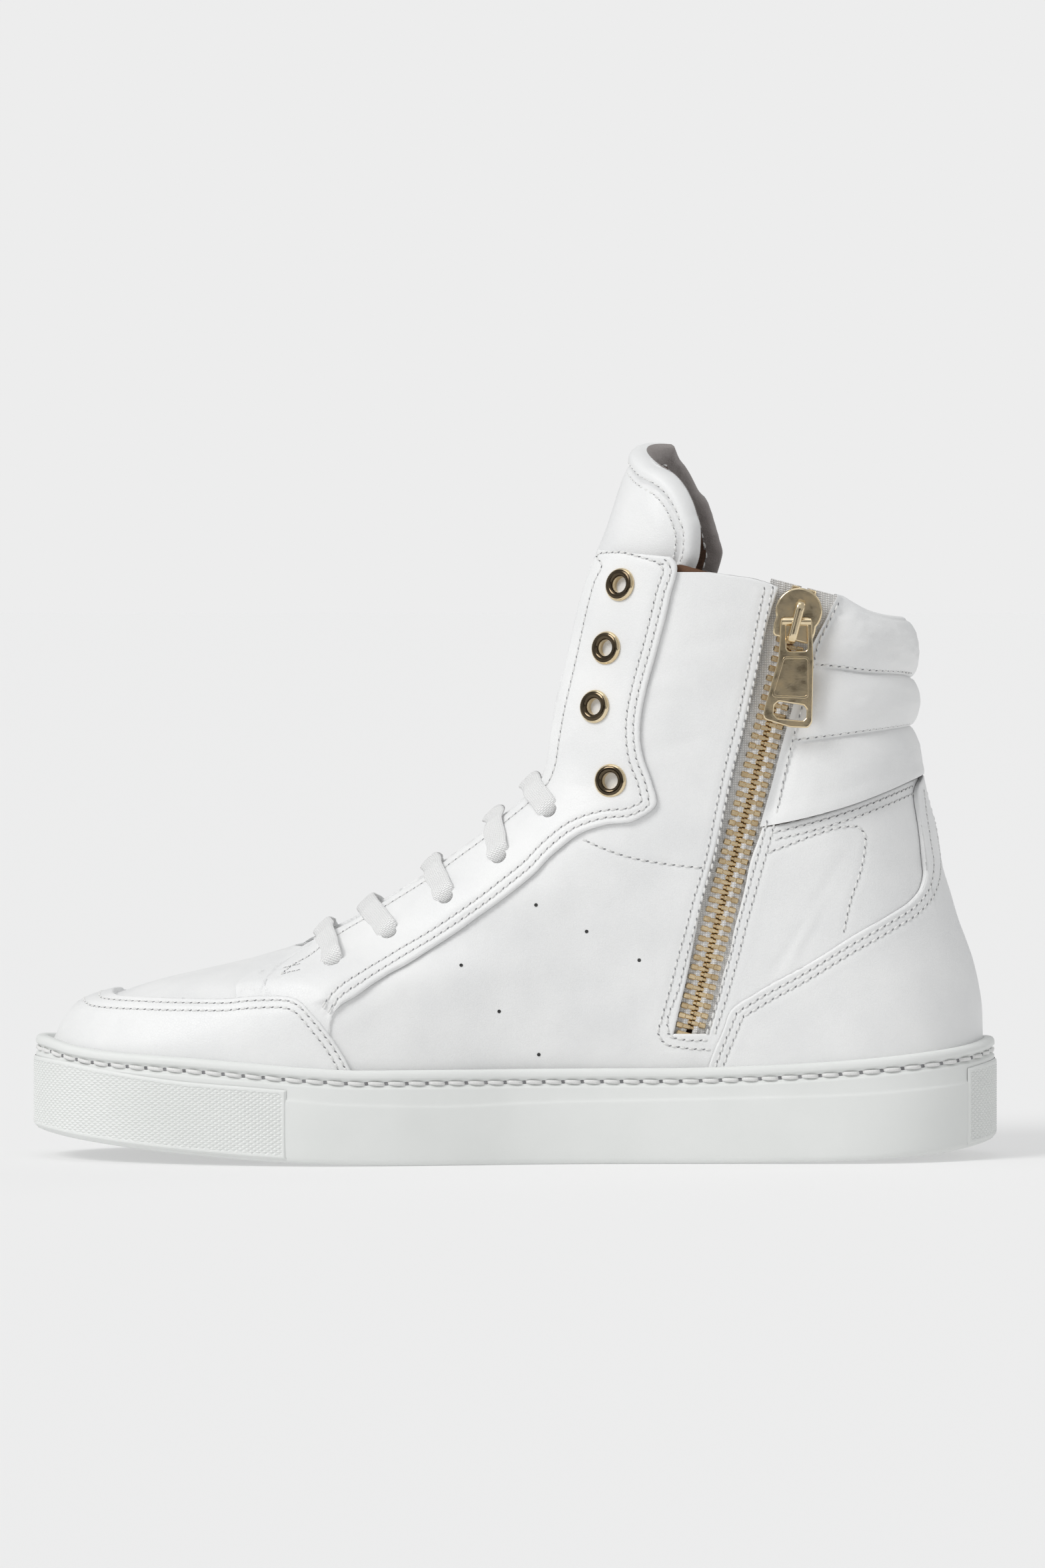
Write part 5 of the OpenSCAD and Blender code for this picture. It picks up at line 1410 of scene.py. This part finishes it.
def ribbon(P, A, w, t, k=16, power=3.0):
    """Bar or band along P; A is the direction across it. Returns points, faces, and (across, along) in mm."""
    P = np.asarray(P, float)
    T = np.gradient(P, axis=0)
    T /= np.linalg.norm(T, axis=1, keepdims=True)
    A = np.asarray(A, float) + 0 * P
    A = A - (A * T).sum(1, keepdims=True) * T
    A /= np.linalg.norm(A, axis=1, keepdims=True)
    B = np.cross(T, A)
    th = np.linspace(0, 2 * math.pi, k, endpoint=False)
    c, s = np.cos(th), np.sin(th)
    cx = np.sign(c) * np.abs(c) ** (2 / power)
    sx = np.sign(s) * np.abs(s) ** (2 / 2.2)
    w = np.broadcast_to(w, len(P))
    t = np.broadcast_to(t, len(P))
    V = P[:, None] + A[:, None] * (cx[None, :, None] * w[:, None, None] / 2) + B[:, None] * (sx[None, :,
        None] * t[:, None, None] / 2)
    n = len(P)
    idx = np.arange(n * k).reshape(n, k)
    F = np.stack([idx[:-1], np.roll(idx[:-1], -1, 1), np.roll(idx[1:], -1, 1), idx[1:]], -1).reshape(-1,
        4).tolist()
    F += [idx[0][::-1].tolist(), idx[-1].tolist()]
    d = np.r_[0, np.cumsum(np.linalg.norm(np.diff(P, axis=0), axis=1))]
    uv = np.stack([cx[None] * w[:, None] / 2 + 0 * d[:, None], d[:, None] + 0 * cx[None]], -1)
    return V.reshape(-1, 3), F, uv.reshape(-1, 2)

# ---------------------------------------------------------------- zip
ZP = surf(ang(52.9, 40.4, NEAR), 40.4)
ZQ = surf(ang(87, 172, NEAR), 172)
ZD = (ZQ - ZP) / np.linalg.norm(ZQ - ZP)
zx = 52.9 + (105 - 40.4) * (87 - 52.9) / (172 - 40.4)
ZN = normal(ang(zx, 105, NEAR), 105)
ZN = ZN - (ZN @ ZD) * ZD
ZN /= np.linalg.norm(ZN)
ZL = np.cross(ZD, ZN)
on_zip = frame_of(ZP, ZL, -ZN, ZD)

def tape(s, name):
    """Ribbed zip tape on side s."""
    nz, nx = 1180, 40
    z = np.linspace(-4.5, 140.5, nz)
    x = np.linspace(0.9, 10.6, nx)
    X, Z = np.meshgrid(x, z)
    rib = 0.10 * np.sin(Z * 2 * math.pi / 0.62) * ease((X - 1.5) / 0.5)
    cord = 0.5 * np.exp(-((X - 2.0) / 0.9) ** 2)
    wale = 0.07 * np.sin(X * 2 * math.pi / 1.9)
    bend = 0.5 * ease((X - 6.5) / 4) + 0.12 * noise3(np.stack([X / 3, Z / 9, 0 * X + s], -1), 21)
    Y = 2.25 - rib - cord - wale + bend
    P = on_zip(np.stack([s * X, Y, Z], -1).reshape(-1, 3))
    F = quads(nz, nx)
    if s < 0:
        F = F[:, ::-1]
    return mesh_obj(name, P, F, TAPE, uv=np.stack([X, Z], -1).reshape(-1, 2))
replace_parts(tape(-1, "zip_tape_front_visual"), "zip_tape_front", "zip_facing_front")
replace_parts(tape(1, "zip_tape_rear_visual"), "zip_tape_rear", "zip_facing_rear")
for s, name in ((-1, "front"), (1, "rear")):
    pile = Pile()
    for i in range(44):
        z0 = 0.2 + (i + (0 if s < 0 else 0.5)) * 3.05
        for lo, hi, c in (((2.15, 1.15, 0.02), (4.55, 3.8, 1.72), 0.34), ((-0.15, 1.55, 0.16),
            (2.5, 3.5, 1.58), 0.3),
                ((-1.25, 1.9, 0.34), (0.1, 3.2, 1.40), 0.26)):
            V, F = chamfer_box(lo, hi, c)
            V = V + [0, 0, z0]
            V[:, 0] *= s
            if s < 0:
                F = [f[::-1] for f in F]
            pile.add(on_zip(V), F)
    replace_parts(pile.build("zip_teeth_%s_visual" % name, TEETH, "shoe", "zip_metal"), "zip_teeth_%s" % name)
pile = Pile()
V, F = chamfer_box((-3.8, 0.9, -2.7), (3.8, 2.0, -0.6), 0.35)
pile.add(on_zip(V), F)
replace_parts(pile.build("zip_bottom_stop_visual", TEETH, "shoe", "zip_metal"), "zip_bottom_stop")
pile = Pile()
for s in (-1, 1):
    V, F = chamfer_box((1.1, 1.1, 138.1), (3.8, 3.9, 140.2), 0.4)
    V[:, 0] *= s
    pile.add(on_zip(V), F if s > 0 else [f[::-1] for f in F])
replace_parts(pile.build("zip_top_stops_visual", TEETH, "shoe", "zip_metal"), "zip_top_stops")

# slider: two plates, flanges, bridge
th = np.radians(np.linspace(-28, 208, 60))
head = np.stack([7.15 * np.cos(th), 132.9 + 7.15 * np.sin(th)], 1)
low = np.array([[-6.5, 127.5], [-6.1, 124.6], [-5.4, 123.8], [5.4, 123.8], [6.1, 124.6], [6.5, 127.5]])
face = np.vstack([head, low])
flat = lambda y0: frame_of(on_zip([0, y0, 0]), ZL, ZD, -ZN)
plate("slider_face", [face], 0.85, 0.55, flat(-2.1), GOLD, "slider")
plate("slider_back", [face * [0.93, 1]], 0.55, 0.3, flat(4.7), GOLD, "slider")
pile = Pile()
for s in (-1, 1):
    for y0, y1 in ((-1.9, 1.7), (3.3, 4.6)):
        V, F = chamfer_box((4.55, y0, 123.9), (5.05, y1, 136.5), 0.2)
        V[:, 0] *= s
        pile.add(on_zip(V), F if s > 0 else [f[::-1] for f in F])
# the divider, left open between the plates where the teeth pass
for y0, y1 in ((-1.9, 0.2), (3.4, 4.4)):
    V, F = chamfer_box((-1.3, y0, 131.5), (1.3, y1, 137.8), 0.3)
    pile.add(on_zip(V), F)
pile.build("slider_flanges", GOLD, "slider", "zip_metal")
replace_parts(bpy.data.objects["slider_face"], "slider_body")
arch = round_poly([[136.2, -1.8], [135.2, -7.3], [123.4, -7.3], [123.9, -1.8]], [0, 2.0, 2.0, 0], 10)
arch = along(np.c_[arch, 0 * arch[:, :1]], 0.35)[0][:, :2]
arch = on_zip(np.stack([0 * arch[:, 0], arch[:, 1], arch[:, 0]], 1))
V, F, _ = ribbon(arch, ZL, 2.5, 1.25, 20, 3.4)
ob = mesh_obj("slider_bridge_visual", V, F, GOLD, "slider")
sharp_by_angle(ob, 50)
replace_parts(ob, "slider_bridge")

# pull tab with its two windows; the faces are plain
TC = ZP + ZD * 129.6 + ZN * 5.2
tab_to = frame_of(TC, [1, 0, 0], [0, 0, 1], [0, -1, 0])
tab_out = round_poly([[-4.7, 1.3], [4.7, 1.3], [5.2, -12], [4.8, -30.8], [3.6, -32.4], [-2, -32.2],
    [-10.4, -29.6], [-9.7, -26], [-5.5, -11]],
    [1.5, 1.5, 6, 2, 1.6, 3, 2.0, 4, 8])
win1 = round_poly([[-3.2, -1.1], [3.2, -1.1], [3.4, -8.9], [-3.0, -8.9]], [0.4, 0.4, 1.3, 1.3])
win2 = round_poly([[-6.7, -25.4], [-5.4, -24.3], [2.2, -25.5], [3.1, -26.6], [3.0, -29.2], [2.0, -30.2],
    [-5.8, -29.4], [-7.0, -28.0]], 0.7)
tab = plate("pull_tab_visual", [tab_out, win1, win2], 0.75, 0.42, tab_to, GOLD, "tab")
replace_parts(tab, "pull_tab")
field = round_poly([[-4.0, -10.6], [3.9, -10.6], [3.6, -23.4], [-7.7, -23.0]], 1.2)
big = lambda P, k: (np.asarray(P) - np.mean(P, 0)) * k + np.mean(P, 0)
for s, nm in ((-1, "front"), (1, "back")):
    plate("pull_tab_field_" + nm, [big(field, 1.0), big(field, 0.90)], 0.17, 0.1,
        frame_of(TC + np.array([0, s * 0.78, 0]), [1, 0, 0], [0, 0, 1], [0, -1, 0]), GOLD, "tab")
P = np.stack([np.linspace(-4.4, 4.4, 20), 0 * np.linspace(0, 1, 20), 0 * np.linspace(0, 1, 20)], 1) + TC
V, F, _ = ribbon(P, [0, 1, 0], 2.3, 2.3, 20, 2.0)
ob = mesh_obj("pull_tab_bar", V, F, GOLD, "tab")
sharp_by_angle(ob, 60)

# ---------------------------------------------------------------- eyelets
# turned profile: radius and height over the leather; the inner bands take a dark metal, a painted reflection
# of dark surroundings
prof = [(2.55, -4.2), (2.55, 0.1), (2.64, 0.62), (2.95, 0.98), (3.45, 1.16), (4.0, 1.12), (4.55, 0.9),
    (4.95, 0.5), (5.13, 0.12), (5.12, -0.2), (4.9, -0.42)]
ROUND, bands, REFLECTION_BANDS = 56, len(prof) - 1, range(1, 6)
for s, name in ((NEAR, "inner"), (FAR, "outer")):
    V, F, n = [], [], 0
    for x, z in EYELET_P:
        p, nn = spot(x, z, s, ON_TOP + 0.12)
        u, w = across(nn)
        V += [circle(p, u, w, r, r, ROUND) + nn * h for r, h in prof]
        for i in range(bands):
            for j in range(ROUND):
                a, b = n + i * ROUND + j, n + i * ROUND + (j + 1) % ROUND
                F.append((a, a + ROUND, b + ROUND, b))
        n += ROUND * len(prof)
    ob = mesh_obj("eyelets_%s_visual" % name, np.vstack(V), F, GOLD, "shoe")
    # faces of the inner bands take the dark metal: painted reflection
    ob.data.materials.append(PAINTED_REFLECTION_GOLD)
    dark = [int((i // ROUND) % bands in REFLECTION_BANDS) for i in range(len(F))]
    ob.data.polygons.foreach_set("material_index", np.array(dark, np.int32))
    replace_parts(ob, "eyelets_%s" % name)

# ---------------------------------------------------------------- lace
LACE_Z = [67.8, 75.6, 88, 102, 113]
ALONG = np.array([0.72, 0, 0.7]) / math.hypot(0.72, 0.7)
LV, LF, LUV, ln_ = [], [], [], 0
for i in range(5):
    half = {}
    for s in (NEAR, FAR):
        x, z = LACE_P[i]
        h, nn = spot(x, z, s, 0)
        ez = LACE_Z[i]
        e, en = spot(float(throat_x(ez)) + 0.3, ez, s, 0)
        d = (e - h) / np.linalg.norm(e - h)
        top = ON_TOP
        half[s] = [h - nn * 3.2 + d * -0.2, h + nn * 0.6 + d * 0.3, h + nn * (top + 0.55) + d * 1.5,
            mix(h, e, 0.45) + nn * (top + 1.15),
            e + en * (top + 1.0) - d * 0.8, e + en * (top * 0.45 + 0.6) + d * 2.6 + np.array([0, 0, 0.2])]
    mid = (half[NEAR][-1] + half[FAR][-1]) / 2 + np.array([-1.4, 0, 1.2])
    pts = np.array([*half[NEAR], mid, *half[FAR][::-1]])
    t = np.linspace(0, len(pts) - 1, 340)
    P = catmull(pts, t)
    P, s_ = along(P, 0.3)
    total = s_[-1]
    k = np.minimum(s_, total - s_)
    w = 4.8 + 2.5 * ease((k - 2.6) / 3.4)
    th = 2.2 - 0.45 * ease((k - 2.6) / 3.5)
    V, F, uv = ribbon(P, ALONG, w, th, 28, 2.9)
    uv = uv / [1.5, 1.0] + [0.5, 0.37 * i]
    LV.append(V)
    LUV.append(uv)
    LF += [[a + ln_ for a in f] for f in F]
    ln_ += len(V)
ob = mesh_obj("lace_visual", np.vstack(LV), LF, KNIT, "shoe", uv=np.vstack(LUV))
sharp_by_angle(ob, 80)
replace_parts(ob, "lace")

# hidden CAD parts keep their shape and take a plain finish
for nname, m in (("insole_board", INSOLE), ("lace_tips", SILVER), ("eyelet_washers_inner", GOLD),
    ("eyelet_washers_outer", GOLD)):
    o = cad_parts[nname]
    o.data.materials.clear()
    o.data.materials.append(m)

# ---------------------------------------------------------------- floor, backdrop, light
def stage_plane(name, size, loc, rot, mat):
    """Flat square of the studio."""
    me = bpy.data.meshes.new(name)
    h = size / 2
    me.from_pydata([(-h, -h, 0), (h, -h, 0), (h, h, 0), (-h, h, 0)], [], [(0, 1, 2, 3)])
    o = bpy.data.objects.new(name, me)
    bpy.context.scene.collection.objects.link(o)
    o.location = loc
    o.rotation_euler = rot
    me.materials.append(mat)
    return o

def matte(name, color, glow=None):
    """Surface of the studio without shine, which may glow a little."""
    m, _, b = material(name, color, 1.0)
    b.inputs["Specular IOR Level"].default_value = 0.0
    if glow is not None:
        b.inputs["Emission Color"].default_value = (1, 1, 1, 1)
        b.inputs["Emission Strength"].default_value = glow
    return m
stage_plane("floor", 60, (0, 0, 0), (0, 0, 0), matte("floor", (0.5, 0.5, 0.5), 0.372))
drop = stage_plane("backdrop", 60, (0, 28, 0), (math.pi / 2, 0, 0), matte("backdrop", (0, 0, 0), 0.847))
drop.visible_diffuse = drop.visible_glossy = drop.visible_shadow = False
# dark flags in front, seen only in the metal
FLAG = matte("flag", (0.06, 0.05, 0.04))
FLAGS = [(1.15, (0.1, -3.4, 0.25), 90, 0), (0.8, (0.9, -1.6, -0.2), 75, 30), (0.55, (-1.0, -1.3, 0.25), 90,
    -48)]
for k, (size, loc, tip, turn) in enumerate(FLAGS):
    rot = (math.radians(tip), 0, math.radians(turn))
    f = stage_plane("flag_%d" % k, size, loc, rot, FLAG)
    f.visible_diffuse = f.visible_shadow = f.visible_camera = False
world = bpy.data.worlds.new("world")
bpy.context.scene.world = world
world.use_nodes = True
bg = world.node_tree.nodes["Background"]
bg.inputs[0].default_value = (0.985, 0.995, 1, 1)
bg.inputs[1].default_value = 0.50

def sun(name, direction, strength, angle, color=(1, 1, 1)):
    """Sun lamp shining along direction."""
    L = bpy.data.lights.new(name, "SUN")
    L.energy = strength
    L.angle = math.radians(angle)
    L.color = color
    o = bpy.data.objects.new(name, L)
    bpy.context.scene.collection.objects.link(o)
    o.rotation_euler = Vector(direction).to_track_quat("-Z", "Y").to_euler()
    return o
sun("key", (0.62, 0.55, -0.72), 1.5, 26, (1, 0.995, 0.985))
sun("top", (0.1, 0.12, -1.0), 0.35, 40)
sun("rim", (-0.75, -0.35, -0.5), 0.16, 20)
bpy.context.scene.view_settings.view_transform = "Standard"
